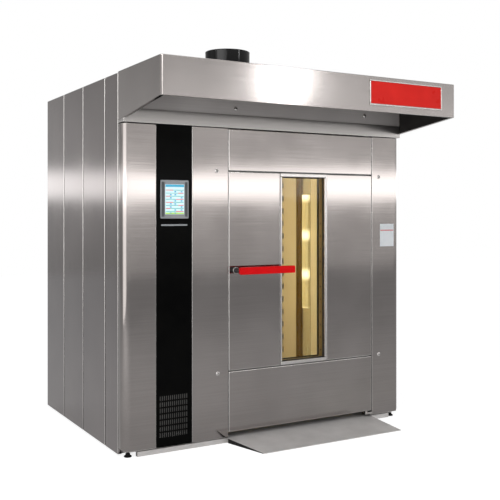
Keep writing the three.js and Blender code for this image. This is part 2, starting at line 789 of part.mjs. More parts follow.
addPiece('gear_motor', gearMotor(), 'greyPaint');
addPiece('carrier_bearing', carrierBearing(), 'brightSteel');
addPiece('rack_carrier', rackCarrier(), 'brightSteel');

// ---------------------------------------------------------------- heater and fan

const chestX = [partitionLeft - seat - chestWidth, partitionLeft - seat];
const chestY = [chestFront, chestFront + chestDepth];
const chestZ = [chestBottom, chestTop];
const fanX = (chestX[0] + chestWall + chestX[1]) / 2;
const fanY = chestMiddleY;
const lowestHeaterRow = lowerPortZ + portHeight + heaterRowPitch / 2;
const heaterPlateY = [fanY - heaterTubeSpread / 2 - 30, fanY + heaterTubeSpread / 2 + 30];
const heaterPlateZ = [lowestHeaterRow - 45, lowestHeaterRow + (heaterRows - 1) * heaterRowPitch + 45];
const heaterWindowY = [heaterPlateY[0] + 16, heaterPlateY[1] - 16];
const heaterWindowZ = [heaterPlateZ[0] + 20, heaterPlateZ[1] - 20];

function heaterChest() {
  const hollow = block([chestX[0] + chestWall, chestX[1] + 1],
    [chestY[0] + chestWall, chestY[1] - chestWall], [chestZ[0] + chestWall, chestZ[1] - chestWall]);
  const tubeWindow = block([chestX[0] - 1, chestX[0] + chestWall + 1], heaterWindowY, heaterWindowZ);
  const shaftHole = uprightRod(fanX, fanY, fanShaftRadius + 4, [chestTop - chestWall - 1, chestTop + 1], 16);
  return cut(block(chestX, chestY, chestZ), [hollow, tubeWindow, shaftHole]);
}

// The round end of a hairpin heating tube.
class HairpinEnd extends THREE.Curve {
  constructor(centreX, centreY, height, radius) {
    super();
    this.centre = new THREE.Vector3(centreX, centreY, height);
    this.radius = radius;
  }

  getPoint(t, target = new THREE.Vector3()) {
    const angle = Math.PI * (t - 0.5);
    return target.copy(this.centre).add(
      new THREE.Vector3(Math.cos(angle) * this.radius, Math.sin(angle) * this.radius, 0));
  }
}

function heaterBank() {
  const plateX = [chestX[0] - seat - 10, chestX[0] - seat];
  const plate = block(plateX, heaterPlateY, heaterPlateZ);
  const bend = heaterTubeSpread / 2;
  const tubeEnd = chestX[1] - 20 - bend - heaterTubeRadius;
  const section = new THREE.Shape();
  section.absarc(0, 0, heaterTubeRadius, 0, Math.PI * 2, false);
  const tubes = [];
  for (let row = 0; row < heaterRows; row += 1) {
    const z = lowestHeaterRow + row * heaterRowPitch;
    const path = new HairpinEnd(tubeEnd, fanY, z, bend);
    const end = new THREE.ExtrudeGeometry(section,
      { steps: 5, bevelEnabled: false, extrudePath: path, curveSegments: 4 });
    tubes.push(toSolid(end));
    [-bend, bend].forEach((offset) => {
      tubes.push(crossRod(fanY + offset, z, heaterTubeRadius, [plateX[0] - 30, tubeEnd + 1], 8));
    });
  }
  return join([plate, ...tubes]);
}

function fanImpeller() {
  const bottom = impellerTop - impellerHeight;
  const eye = impellerRadius * 0.62;
  const backPlate = uprightRod(fanX, fanY, impellerRadius, [impellerTop - 3, impellerTop], 30);
  const shroud = uprightRod(fanX, fanY, impellerRadius, [bottom, bottom + 3], 30)
    .subtract(uprightRod(fanX, fanY, eye, [bottom - 1, bottom + 4], 30));
  const shaft = turned(fanX, fanY, [
    [0, impellerTop - 50], [fanShaftRadius * 2, impellerTop - 50], [fanShaftRadius * 2, impellerTop + 8],
    [fanShaftRadius, impellerTop + 8], [fanShaftRadius, chestTop + seat + 50], [0, chestTop + seat + 50],
  ], 20);
  const bladeArc = impellerRadius * 0.5;
  const blade = new THREE.Shape();
  blade.absarc(0, 0, bladeArc, Math.PI * 0.12, Math.PI * 0.52, false);
  blade.absarc(0, 0, bladeArc - bladeThickness, Math.PI * 0.52, Math.PI * 0.12, true);
  const bladeSolid = extrude(blade, [bottom + 2, impellerTop - 2], standUp, 3)
    .translate([impellerRadius * 0.46, 0, 0]);
  const blades = [];
  for (let index = 0; index < bladeCount; index += 1) {
    blades.push(bladeSolid.rotate([0, 0, index * 360 / bladeCount]).translate([fanX, fanY, 0]));
  }
  return join([backPlate, shroud, shaft, ...blades]);
}

function fanMotor() {
  const bottom = chestTop + seat;
  const bore = uprightRod(fanX, fanY, fanShaftRadius + seat, [bottom - 1, bottom + 50 + seat], 20);
  return turned(fanX, fanY, [
    [0, bottom], [fanMotorRadius + 20, bottom],
    [fanMotorRadius + 20, bottom + 10], [fanMotorRadius, bottom + 10],
    [fanMotorRadius, bottom + fanMotorHeight * 0.75], [fanMotorRadius + 5, bottom + fanMotorHeight * 0.75],
    [fanMotorRadius + 5, bottom + fanMotorHeight - 8], [fanMotorRadius - 10, bottom + fanMotorHeight],
    [0, bottom + fanMotorHeight],
  ], 24).subtract(bore);
}

addPiece('heater_chest', heaterChest(), 'insulation');
addPiece('heater_bank', heaterBank(), 'brightSteel');
addPiece('fan_impeller', fanImpeller(), 'brightSteel');
addPiece('fan_motor', fanMotor(), 'greyPaint');

// ---------------------------------------------------------------- door

const coreSpanX = [coreLeft, coreRight];
const coreSpanZ = [doorBottom + coreInset, doorTop - coreInset];
const windowX = [windowLeft, windowRight];
const windowZ = [windowBottom, windowTop];

function grown([low, high], margin) {
  return [low - margin, high + margin];
}

const spindleHole = (span) => depthRod(spindleX, spindleZ, spindleRadius + seat, grown(span, 1), 16);

// A shallow folded skin on the face of the door.
function doorSkin(spanX, spanZ) {
  return tray([spanX, [0, skinDepth], spanZ], 1, 1);
}

const lowerPinTop = doorBottom + hingePinGrip;
const upperPinBottom = doorTop - hingePinGrip;

function doorCore() {
  const span = [doorInner, coreBack];
  const glassX = grown(windowX, glassRebate + seat);
  const glassZ = grown(windowZ, glassRebate + seat);
  const body = ring(coreSpanX, span, coreSpanZ, glassX, glassZ);
  const lugX = [hingeX - 22, hingeX + 22];
  const lugY = [sheet + seat, doorInner + 1];
  const edge = sheet + seat;
  const lugs = [
    block(lugX, lugY, [doorBottom + edge, lowerPinTop + 25]),
    block(lugX, lugY, [upperPinBottom - 25, doorTop - edge]),
  ];
  const pinHoles = [
    hingePinHole([doorBottom, lowerPinTop + seat], seat),
    hingePinHole([upperPinBottom - seat, doorTop], seat),
  ];
  return cut(join([body, ...lugs]), [spindleHole(span), ...pinHoles]);
}

function doorLiner() {
  const span = [coreBack + seat, linerBack];
  const pan = tray([coreSpanX, span, coreSpanZ], 1, -1);
  const windowEdge = ring(grown(windowX, sheet), span, grown(windowZ, sheet), windowX, windowZ);
  const opening = block(windowX, grown(span, 1), windowZ);
  const boss = depthRod(spindleX, spindleZ, spindleRadius + 6, span, 16);
  return cut(pan, [opening]).add(join([windowEdge, boss])).subtract(spindleHole(span));
}

function windowTrim() {
  const outerX = grown(windowX, trimWidth);
  const outerZ = grown(windowZ, trimHeight);
  const bezel = ring(outerX, [0, skinDepth], outerZ, windowX, windowZ);
  const sleeve = ring(grown(windowX, glassRebate), [skinDepth - 1, glassSetback - seat],
    grown(windowZ, glassRebate), windowX, windowZ);
  return bezel.add(sleeve);
}

function glassPane(front) {
  return block(grown(windowX, glassRebate), [front, front + glassThickness], grown(windowZ, glassRebate));
}

// The seal on the door's inner face, with a lip at the bottom that reaches down to the sill.
function doorGasket() {
  const span = [linerBack + seat, linerBack + seat + gasketDepth];
  const outerX = grown([entryLeft, entryRight], gasketOverlap);
  const outerZ = [floorTop + wiperGap, entryTop + gasketOverlap];
  const innerX = grown(outerX, -gasketWidth);
  const innerZ = [coreSpanZ[0] + gasketWidth, outerZ[1] - gasketWidth];
  const base = ring(outerX, span, outerZ, innerX, innerZ);
  // The sealing bead is narrower than the base of the seal.
  const bead = [span[1] - gasketDepth * 0.4, span[1] + 1];
  const outerStep = ring(grown(outerX, 1), bead, grown(outerZ, 1), grown(outerX, -5),
    [outerZ[0] - 2, outerZ[1] - 5]);
  return base.subtract(outerStep);
}

const leftSkinX = [doorLeft, windowLeft - trimWidth - seam];
const rightSkinX = [windowRight + trimWidth + seam, doorRight];
const middleZ = [lowerSeam + seam / 2, upperSeam - seam / 2];
addPiece('door_core', doorCore(), 'insulation');
addPiece('door_liner', doorLiner(), 'brightSteel');
addPiece('door_top_skin',
  doorSkin([doorLeft, doorRight], [upperSeam + seam / 2, doorTop])
    .subtract(hingePinHole([doorTop - sheet - 1, doorTop + 1], seat * 2)), 'satinSteel');
addPiece('door_bottom_skin',
  doorSkin([doorLeft, doorRight], [doorBottom, lowerSeam - seam / 2])
    .subtract(hingePinHole([doorBottom - 1, doorBottom + sheet + 1], seat * 2)), 'satinSteel');
addPiece('door_left_skin',
  doorSkin(leftSkinX, middleZ).subtract(spindleHole([0, skinDepth])), 'satinSteel');
addPiece('door_right_skin', doorSkin(rightSkinX, middleZ), 'satinSteel');
addPiece('window_trim', windowTrim(), 'brightSteel');
addPiece('outer_glass', glassPane(glassSetback), 'clearGlass');
addPiece('inner_glass', glassPane(coreBack - glassThickness), 'clearGlass');
addPiece('door_gasket', doorGasket(), 'rubber');

// ---------------------------------------------------------------- hinges and latch

function lowerHinge() {
  const plateTop = doorBottom - coreInset;
  const plate = block([hingeX - 20, pillarLeft - seat], [-4, hingeY + 24], [plateTop - hingePlate, plateTop]);
  const washer = uprightRod(hingeX, hingeY, hingePinRadius + 5, [plateTop - 1, doorBottom - seat], 16);
  return join([plate, washer, hingePinHole([plateTop - hingePlate, lowerPinTop], 0)]);
}

function upperHinge() {
  const plateBottom = headerStripBottom + sheet + seat;
  const plate = block([hingeX - 20, hingeX + upperHingeReach],
    [-headerStripProud + sheet + seat, frontRecess - sheet - seat * 2],
    [plateBottom, plateBottom + hingePlate]);
  return plate.add(hingePinHole([upperPinBottom, plateBottom + hingePlate], 0));
}

const camFront = linerBack + 1;

// The inner end of the latch: a nose that turns with the spindle.
function latchCam() {
  const hub = depthRod(spindleX, spindleZ, spindleRadius + 6, [camFront, camFront + camThickness], 20);
  const nose = alongY([
    [spindleX, spindleZ - 9], [spindleX - camReach + 5, spindleZ - 7], [spindleX - camReach, spindleZ - 2],
    [spindleX - camReach, spindleZ + 2], [spindleX - camReach + 5, spindleZ + 7], [spindleX, spindleZ + 9],
  ].reverse(), [camFront, camFront + camThickness]);
  return hub.add(nose).subtract(spindleHole([camFront, camFront + camThickness]));
}

function latchKeeper() {
  const back = frontRecess - seat;
  const left = rightCabinetRight + seat;
  const tip = spindleX - camReach - 5;
  return alongZ([
    [left, linerBack + 2], [tip - 5, linerBack + 2], [tip, linerBack + 7], [tip, back], [left, back],
  ], [spindleZ - 18, spindleZ + 18]);
}

function turnedAlongY(x, z, profile, sides) {
  const points = profile.map(([radius, y]) => new THREE.Vector2(radius, y));
  const geometry = new THREE.LatheGeometry(points, sides);
  geometry.translate(x, 0, z);
  return toSolid(geometry);
}

function handleHub() {
  const end = camFront + camThickness + 0.5;
  return turnedAlongY(spindleX, spindleZ, [
    [0, -hubHeight], [hubRadius - 7, -hubHeight], [hubRadius, 7 - hubHeight], [hubRadius, -14],
    [hubRadius + 6, -8], [hubRadius + 6, -seat], [spindleRadius, -seat], [spindleRadius, end], [0, end],
  ], 24);
}

function handleLever() {
  const left = spindleX - leverTail;
  const spanX = [left, left + leverLength];
  const half = leverHeight / 2;
  const spanZ = [spindleZ - half, spindleZ + half];
  const back = -hubHeight - seat;
  const bevel = 4;
  const middle = roundedPlate(spanX, [back - leverThickness + bevel, back], spanZ, half - 0.5);
  const face = roundedPlate(grown(spanX, -bevel),
    [back - leverThickness, back - leverThickness + bevel + 0.2],
    grown(spanZ, -bevel), half - bevel - 0.5);
  return middle.add(face);
}

addPiece('lower_hinge', lowerHinge(), 'brightSteel');
addPiece('upper_hinge', upperHinge(), 'brightSteel');
addPiece('latch_cam', latchCam(), 'brightSteel');
addPiece('latch_keeper', latchKeeper(), 'brightSteel');
addPiece('handle_hub', handleHub(), 'darkPaint');
addPiece('handle_lever', handleLever(), 'redPlastic');

// ---------------------------------------------------------------- controls

const screenX = grown([panelLeft, panelLeft + panelWidth], -screenMarginX);
const screenZ = grown([panelBottom, panelBottom + panelHeight], -screenMarginZ);

function touchPanel() {
  const bezel = roundedPlate([panelLeft, panelLeft + panelWidth], [-panelProud, -seat],
    [panelBottom, panelBottom + panelHeight], 8);
  const margin = sheet * 6 + seat;
  const housing = block([panelLeft + margin, panelLeft + panelWidth - margin], [-seat - 1, panelHousingDepth],
    [panelBottom + margin, panelBottom + panelHeight - margin]);
  const pocket = block(screenX, [-panelProud - 1, -panelProud + screenThickness + 1], screenZ);
  return bezel.add(housing).subtract(pocket);
}

addPiece('touch_panel', touchPanel(), 'silver');
addPiece('touch_screen',
  block(grown(screenX, -seat), [-panelProud + 1 - seat, -panelProud + screenThickness + 1 - seat],
    grown(screenZ, -seat)), 'screenGlass');

// ---------------------------------------------------------------- entry ramp

// A folded plate that rises from the shop floor and runs under the door as its sill.
function entryRamp() {
  const back = frontRecess - seat;
  const slope = (rampRearTop - rampFrontTop) / rampReach;
  const left = rightCabinetRight + seam;
  const right = pillarLeft - 1;
  const wedge = alongX([
    [-rampReach, 0], [back, 0], [back, floorTop], [0, rampRearTop], [-rampReach, rampFrontTop],
  ], [left, right]);
  const hollowFront = rampSolidTip - rampReach;
  const hollow = alongX([
    [hollowFront, -1], [back - rampPlate, -1], [back - rampPlate, floorTop - rampPlate * 1.5],
    [0, rampRearTop - rampPlate], [hollowFront, rampFrontTop + slope * rampSolidTip - rampPlate],
  ], [left, right]);
  // The left edge runs in towards the front.
  const plan = (inset) => [
    [left + inset, back + 1], [left + inset, 0], [left + rampLeftTaper + inset, -rampReach - 1],
    [right - inset, -rampReach - 1], [right - inset, back + 1],
  ];
  const height = [-2, floorTop + 1];
  const hollowInside = hollow.intersect(alongZ(plan(rampPlate), height));
  return wedge.intersect(alongZ(plan(0), height)).subtract(hollowInside);
}

addPiece('entry_ramp', entryRamp(), 'greyPaint');

export default oven;
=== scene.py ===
# Rotating rack oven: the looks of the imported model, in metres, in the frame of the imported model.
import bpy
import bmesh
from math import cos, pi, radians, sin
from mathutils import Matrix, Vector


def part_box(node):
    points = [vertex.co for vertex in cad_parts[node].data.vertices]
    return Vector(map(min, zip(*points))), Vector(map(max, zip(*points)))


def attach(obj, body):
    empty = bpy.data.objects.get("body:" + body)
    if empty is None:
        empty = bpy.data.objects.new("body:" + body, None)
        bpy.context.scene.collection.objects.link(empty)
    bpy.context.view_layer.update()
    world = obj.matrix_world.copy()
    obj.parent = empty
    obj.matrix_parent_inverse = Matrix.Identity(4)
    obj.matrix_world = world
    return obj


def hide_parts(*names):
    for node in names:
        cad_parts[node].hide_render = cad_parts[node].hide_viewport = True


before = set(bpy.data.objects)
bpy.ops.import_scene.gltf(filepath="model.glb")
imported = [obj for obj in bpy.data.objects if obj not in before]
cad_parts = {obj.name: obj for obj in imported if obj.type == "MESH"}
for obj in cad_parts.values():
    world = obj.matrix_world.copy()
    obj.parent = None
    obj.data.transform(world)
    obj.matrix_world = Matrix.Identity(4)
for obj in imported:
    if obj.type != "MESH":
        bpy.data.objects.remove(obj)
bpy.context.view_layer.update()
scene = bpy.context.scene
scene.view_settings.view_transform = "Standard"

# ---- places and colours

# Shop millimetres are measured from the casing's left side, the closed door's face and the floor.
LEFT_SIDE = -1050
DOOR_FACE = -505
# The casing in shop millimetres. A sheet ends 5 mm below the top that hood and roof share.
BODY_WIDTH = 2100
BODY_DEPTH = 1560
BODY_TOP = 2300
SHEET_TOP = 2295
SHEET_WALL = 2


def at(x, y, z):
    """A place in shop millimetres as a place in the frame."""
    return Vector(((x + LEFT_SIDE) / 1000, (y + DOOR_FACE) / 1000, z / 1000))


def mm(length):
    return length / 1000


def inset(span, by):
    """A span drawn in by the same length at both ends."""
    return span[0] + by, span[1] - by


def mirrored(span):
    """A span of widths, mirrored from the casing's left side to its right."""
    return BODY_WIDTH - span[1], BODY_WIDTH - span[0]


def rectangle(across, up):
    """The corners of a rectangle, anticlockwise from the lower left one."""
    return [(across[0], up[0]), (across[1], up[0]), (across[1], up[1]), (across[0], up[1])]


def linear(hex_colour):
    """An sRGB hex colour as the linear colour that a shader takes."""
    parts = [int(hex_colour[i:i + 2], 16) / 255 for i in (1, 3, 5)]
    return tuple(c / 12.92 if c <= 0.04045 else ((c + 0.055) / 1.055) ** 2.4 for c in parts) + (1.0,)


# ---- camera

camera_data = bpy.data.cameras.new("camera")
camera_data.lens = 58.77
camera_data.sensor_width = 36
camera_data.shift_y = -0.0726
camera = bpy.data.objects.new("camera", camera_data)
camera.location = (-2.808, -5.035, 1.450)
camera.rotation_euler = (radians(90), 0, radians(-30.05))
scene.collection.objects.link(camera)
scene.camera = camera

# ---- studio


def add(tree, kind, values=None):
    """Adds one node. A value is for a socket or for a property. A socket or a node as a value makes a link,
    and a node stands for its first output."""
    made = tree.nodes.new(kind)
    for key, value in (values or {}).items():
        if isinstance(value, bpy.types.Node):
            value = value.outputs[0]
        if isinstance(value, bpy.types.NodeSocket):
            tree.links.new(value, made.inputs[key])
        elif isinstance(key, int) or key in made.inputs:
            made.inputs[key].default_value = value
        else:
            setattr(made, key, value)
    return made


def pale_studio():
    """A pale room with a row of lit windows all round, just above eye height. Metal shows them as the bright
    band across the front and the sides. Levels go by the direction in which a ray leaves the oven."""
    world = bpy.data.worlds.new("pale_studio")
    world.use_nodes = True
    sky = world.node_tree
    sky.nodes.clear()
    ray = add(sky, "ShaderNodeLightPath")
    # The room as a lamp: even, a little cool.
    room_light = add(sky, "ShaderNodeBackground", {"Color": linear("#f4f5f7"), "Strength": 0.55})
    # The room as metal and glass show it: pale above, dimmer below the horizon.
    place = add(sky, "ShaderNodeTexCoord").outputs["Generated"]
    direction = add(sky, "ShaderNodeSeparateXYZ", {0: place})
    rise = add(sky, "ShaderNodeMapRange",
               {"From Min": -0.06, "From Max": 0.05, "To Min": 0.72, "To Max": 1.02,
                "Value": direction.outputs["Z"]})
    # High up the room darkens a little, which keeps the hood from washing out.
    ceiling = add(sky, "ShaderNodeMapRange",
                  {"From Min": 0.09, "From Max": 0.26, "To Min": 0.0, "To Max": -0.45,
                   "Value": direction.outputs["Z"]})
    # A tall window left of the camera, for the highlight down the rounded front-left corner.
    aside = add(sky, "ShaderNodeVectorMath",
                {"operation": "DOT_PRODUCT", 0: place, 1: (-0.932, -0.363, 0.0)})
    corner_window = add(sky, "ShaderNodeMapRange",
                        {"From Min": 0.86, "From Max": 0.97, "To Min": 0.0, "To Max": 2.3,
                         "Value": aside.outputs["Value"]})
    # The row of windows fades in from its sill and out towards its lintel.
    window_height = add(sky, "ShaderNodeMapRange",
                        {"From Min": 0.0, "From Max": 0.12, "Value": direction.outputs["Z"]})
    window = add(sky, "ShaderNodeValToRGB", {"Fac": window_height})
    below, sill = window.color_ramp.elements
    below.position = 0.11
    below.color = (0, 0, 0, 1)
    sill.position = 0.19
    sill.color = (1, 1, 1, 1)
    for stop, level in ((0.37, 1.0), (0.46, 0.0)):
        window.color_ramp.elements.new(stop).color = (level, level, level, 1)
    # The half of the room in front of the oven is the brighter one.
    window_strength = add(sky, "ShaderNodeMapRange",
                          {"From Min": -0.7, "From Max": 0.7, "To Min": 4.8, "To Max": 2.3,
                           "Value": direction.outputs["Y"]})
    half = add(sky, "ShaderNodeMapRange",
               {"From Min": -0.7, "From Max": 0.7, "To Min": 1.42, "To Max": 0.68,
                "Value": direction.outputs["Y"]})
    window_row = add(sky, "ShaderNodeMath", {"operation": "MULTIPLY", 0: window, 1: window_strength})
    windows = add(sky, "ShaderNodeMath", {"operation": "ADD", 0: corner_window, 1: window_row})
    height_level = add(sky, "ShaderNodeMath", {"operation": "ADD", 0: rise, 1: ceiling})
    room = add(sky, "ShaderNodeMath", {"operation": "MULTIPLY", 0: height_level, 1: half})
    gloss_level = add(sky, "ShaderNodeMath", {"operation": "ADD", 0: room, 1: windows})
    in_gloss = add(sky, "ShaderNodeBackground", {"Color": linear("#f7f6f5"), "Strength": gloss_level})
    # The camera itself sees plain white.
    backdrop = add(sky, "ShaderNodeBackground", {"Color": (1, 1, 1, 1), "Strength": 1.0})
    shiny = add(sky, "ShaderNodeMath",
                {"operation": "MAXIMUM", 0: ray.outputs["Is Glossy Ray"],
                 1: ray.outputs["Is Transmission Ray"]})
    lit = add(sky, "ShaderNodeMixShader", {0: shiny, 1: room_light, 2: in_gloss})
    seen = add(sky, "ShaderNodeMixShader", {0: ray.outputs["Is Camera Ray"], 1: lit, 2: backdrop})
    add(sky, "ShaderNodeOutputWorld", {"Surface": seen})
    return world


scene.world = pale_studio()


def softbox(name, place, target, size, power, colour="#ffffff"):
    """A rectangular lamp at a place, turned towards a target."""
    data = bpy.data.lights.new(name, "AREA")
    data.shape = "RECTANGLE"
    data.size, data.size_y = size
    data.energy = power
    data.color = linear(colour)[:3]
    lamp = bpy.data.objects.new(name, data)
    lamp.location = place
    lamp.rotation_euler = (Vector(target) - Vector(place)).to_track_quat("-Z", "Y").to_euler()
    scene.collection.objects.link(lamp)
    return lamp


# One large lamp overhead, one from the left for the side panels, one that whitens the middle of the hood, and
# one that lights the floor on the left, which the rounded corner shows as a highlight down to its foot.
softbox("overhead_lamp", (-0.6, -2.4, 4.6), (0.0, -0.2, 1.2), (3.6, 2.4), 60)
softbox("side_lamp", (-5.2, 1.2, 3.4), (-1.0, 0.3, 1.4), (2.6, 2.2), 6)
softbox("hood_lamp", (2.42, -5.3, 3.10), (-0.3, -1.0, 2.3), (0.32, 0.66), 13)
softbox("corner_floor_lamp", (-4.5, -2.9, 3.1), (-4.5, -2.9, 0.0), (4.0, 3.0), 115)

# ---- materials


def material(name):
    made = bpy.data.materials.new(name)
    made.use_nodes = True
    made.node_tree.nodes.clear()
    return made, made.node_tree


def pale_floor_paint():
    """Matt studio paint. It glows most for the eye, and a little in the steel's reflections, where it has to
    reach the far wall."""
    made, tree = material("pale_floor_paint")
    ray = add(tree, "ShaderNodeLightPath")
    matt = add(tree, "ShaderNodeBsdfDiffuse", {"Color": linear("#f3f3f2")})
    glow = add(tree, "ShaderNodeEmission", {"Color": (1, 1, 1, 1), "Strength": 1.25})
    in_steel = add(tree, "ShaderNodeMath",
                   {"operation": "MULTIPLY", 0: ray.outputs["Is Glossy Ray"], 1: 0.10})
    share = add(tree, "ShaderNodeMath",
                {"operation": "MULTIPLY_ADD", 0: ray.outputs["Is Camera Ray"], 1: 0.70, 2: in_steel})
    blend = add(tree, "ShaderNodeMixShader", {0: share, 1: matt, 2: glow})
    add(tree, "ShaderNodeOutputMaterial", {"Surface": blend})
    return made


def brushed(name, dark, light, grain, roughness, run=0.9, depth=0.02, metallic=1.0):
    """Belt-ground stainless sheet. The real grain is 0.1 to 0.3 mm wide, far too fine to show here, so the
    streaks are drawn 5 mm wide and run metres long, along the axis that grain names."""
    made, tree = material(name)
    place = add(tree, "ShaderNodeTexCoord").outputs["Object"]
    streak = 0.005
    scale = [1 / streak] * 3
    scale["XYZ".index(grain)] = 1 / run
    stretched = add(tree, "ShaderNodeMapping", {"Scale": scale, "Vector": place})
    streaks = add(tree, "ShaderNodeTexNoise",
                  {"Scale": 1.0, "Detail": 3.0, "Roughness": 0.6, "Vector": stretched})
    # Rolled sheet is never quite even: soft clouds about 350 mm wide shift its tone a little.
    clouds = add(tree, "ShaderNodeTexNoise", {"Scale": 2.8, "Detail": 2.0, "Vector": place})
    both = add(tree, "ShaderNodeMix", {"data_type": "FLOAT", 0: 0.5, 2: streaks, 3: clouds})
    tone = add(tree, "ShaderNodeValToRGB", {"Fac": both})
    tone.color_ramp.elements[0].position = 0.34
    tone.color_ramp.elements[0].color = linear(dark)
    tone.color_ramp.elements[1].position = 0.66
    tone.color_ramp.elements[1].color = linear(light)
    gloss = add(tree, "ShaderNodeMapRange",
                {"From Min": 0.3, "From Max": 0.7, "To Min": roughness - 0.02, "To Max": roughness + 0.03,
                 "Value": both})
    relief = add(tree, "ShaderNodeBump", {"Strength": depth, "Distance": 0.0006, "Height": streaks})
    skin = add(tree, "ShaderNodeBsdfPrincipled",
               {"Metallic": metallic, "Base Color": tone, "Roughness": gloss, "Normal": relief})
    add(tree, "ShaderNodeOutputMaterial", {"Surface": skin})
    return made


# Ground stainless on the side panels: a warm grey with upright grain, in which a bright band stands out. Its
# tone is painted darker than the front's, for the shade on the sides.
SHADED_SIDE_STEEL = brushed("ground_stainless_upright_painted_shade", "#767070", "#827c7b", "Z", 0.125)
# The front panels' sheet is painted paler than the sides', for the light that falls on the front; its fine
# grain, laid across, breaks the lit band into streaks.
LIT_FRONT_STEEL = brushed("fine_ground_stainless_across_painted_light", "#817c7a", "#8e8987", "X", 0.08, run=0.6)
# The back is left in the sheet's own matt mill finish, a paler and softer grey.
BACK_STEEL = brushed("mill_finish_stainless_upright", "#a29d9a", "#b0aba8", "Z", 0.36, depth=0.01)
# The header fascia is the sheet's matt mill side, so that it takes light from the floor in the hood's shade.
DULL_STEEL = brushed("mill_finish_stainless_across", "#b3aeac", "#c2bdbb", "X", 0.5, metallic=0.3)
# The header strip and the lever's rose have a pale, even satin finish with soft reflections.
STRIP_STEEL = brushed("satin_stainless_strip", "#a3a09e", "#a8a5a3", "X", 0.30, depth=0.01)
# The bends and the front screws' domes are painted a far paler steel than the sheets: a painted highlight, so
# that the bends are their brightest lines.
HIGHLIGHT_EDGE_STEEL = brushed("painted_highlight_edge", "#b2afad", "#c8c5c3", "Z", 0.22, depth=0.01)
# The toe rails are bead-blasted stainless with an even soft sheen, painted paler than that: painted light for
# the shade they stand in under the casing.
RAIL_STEEL_PAINTED_LIGHT = brushed("bead_blasted_rail_painted_light", "#bdbab8", "#cdcac8", "X", 0.42, depth=0.01, metallic=0.6)
# The hood is polished lengthways: the brightest of the sheets, it mirrors the studio softly.
HOOD_STEEL = brushed("polished_stainless_hood", "#928d8b", "#9c9795", "X", 0.16, depth=0.01)
# Lips, hinges and turned parts are bright, with hardly any grain, and so are trims, whose grain runs upright.
TRIM_STEEL = brushed("bright_stainless_trim", "#a29e9b", "#aeaaa7", "X", 0.20, depth=0.01)
UPRIGHT_TRIM = brushed("bright_stainless_trim_upright", "#aba7a5", "#bab6b4", "Z", 0.20, depth=0.01)
# Roof sheets lie flat and gather flour dust: duller, and a little browner.
ROOF_STEEL = brushed("dusty_stainless_roof", "#8d8784", "#9d9794", "Y", 0.40)
# The lining is plain stainless; its straw yellow is the warm light of the chamber's lamps, painted in. The
# tint scatters light as matt paint does.
LAMPLIT_LINING = brushed("stainless_lining_painted_lamplight", "#c9b791", "#dac9a9", "Z", 0.36, depth=0.06,
                       metallic=0.45)
# Beside the lamps the lining is polished, so that it throws their light forward: smoother and greyer. Its
# yellow is painted lamplight too.
LINING_BRIGHT = brushed("polished_lining_panel", "#b7a67c", "#c8b990", "Z", 0.26, depth=0.03, metallic=0.5)
# The pressed channel's dark brown is painted shade for its groove; heat browns the sheet round the window.
LINING_CHANNEL_SHADE = brushed("lining_channel_painted_shade", "#76571c", "#90722f", "Z", 0.55, depth=0.06, metallic=0.85)
LINING_REVEAL = brushed("heat_browned_window_reveal", "#7f6640", "#957a50", "Z", 0.42, depth=0.04,
                        metallic=0.5)
# The floor pan is worn matt and dark by wheels.
LINING_FLOOR = brushed("worn_lining_floor", "#8e7a58", "#a99472", "Y", 0.40, metallic=0.6)


def painted(name, dark, light, roughness, grit=0.004, relief=0.12, metallic=0.0, coat=0.0, shine=0.5):
    """Stoved paint, enamel or moulded plastic: an even colour with a fine orange-peel skin, grit metres from
    lump to lump."""
    made, tree = material(name)
    place = add(tree, "ShaderNodeTexCoord").outputs["Object"]
    peel = add(tree, "ShaderNodeTexNoise", {"Scale": 1 / grit, "Detail": 2.0, "Vector": place})
    # Faint stains about 110 mm across.
    stains = add(tree, "ShaderNodeTexNoise", {"Scale": 9.0, "Detail": 4.0, "Vector": place})
    tone = add(tree, "ShaderNodeValToRGB", {"Fac": stains})
    tone.color_ramp.elements[0].position = 0.3
    tone.color_ramp.elements[0].color = linear(dark)
    tone.color_ramp.elements[1].position = 0.7
    tone.color_ramp.elements[1].color = linear(light)
    smoothest = max(roughness - 0.03, 0.02)
    gloss = add(tree, "ShaderNodeMapRange",
                {"From Min": 0.3, "From Max": 0.7, "To Min": smoothest, "To Max": roughness + 0.05,
                 "Value": stains})
    bumps = add(tree, "ShaderNodeBump", {"Strength": relief, "Distance": 0.0004, "Height": peel})
    skin = add(tree, "ShaderNodeBsdfPrincipled",
               {"Metallic": metallic, "Coat Weight": coat, "Coat Roughness": 0.06,
                "Specular IOR Level": shine, "Base Color": tone, "Roughness": gloss, "Normal": bumps})
    add(tree, "ShaderNodeOutputMaterial", {"Surface": skin})
    return made


# The fascia is tinted, polished acrylic: near black and smooth, with only a faint reflection.
FASCIA_BLACK = painted("polished_black_acrylic", "#070707", "#0b0b0a", 0.12, relief=0.02, shine=0.02)
# The louvres are sprayed matt, so they show as dark grey bars in the black.
GRILLE_EDGE = painted("matt_black_louvre_paint", "#3a3937", "#4a4947", 0.5, relief=0.1)
# The collar is enamelled steel tube: deep black with narrow, sharp reflections.
COLLAR_ENAMEL = painted("gloss_black_enamel", "#050505", "#0c0c0c", 0.07, relief=0.02, coat=0.15, shine=0.1)
# The lever is moulded red nylon with a satin skin.
RED_NYLON = painted("moulded_red_nylon", "#d4040b", "#e4060f", 0.34, grit=0.003, relief=0.10, shine=0.12)
# The lever's boss is stoved charcoal grey; a hammered grey paint hides the motors' casting marks.
HUB_PAINT = painted("charcoal_stoved_paint", "#232325", "#303032", 0.38, relief=0.15)
MOTOR_PAINT = painted("grey_hammered_motor_paint", "#5f666c", "#727980", 0.45, grit=0.006, relief=0.35)
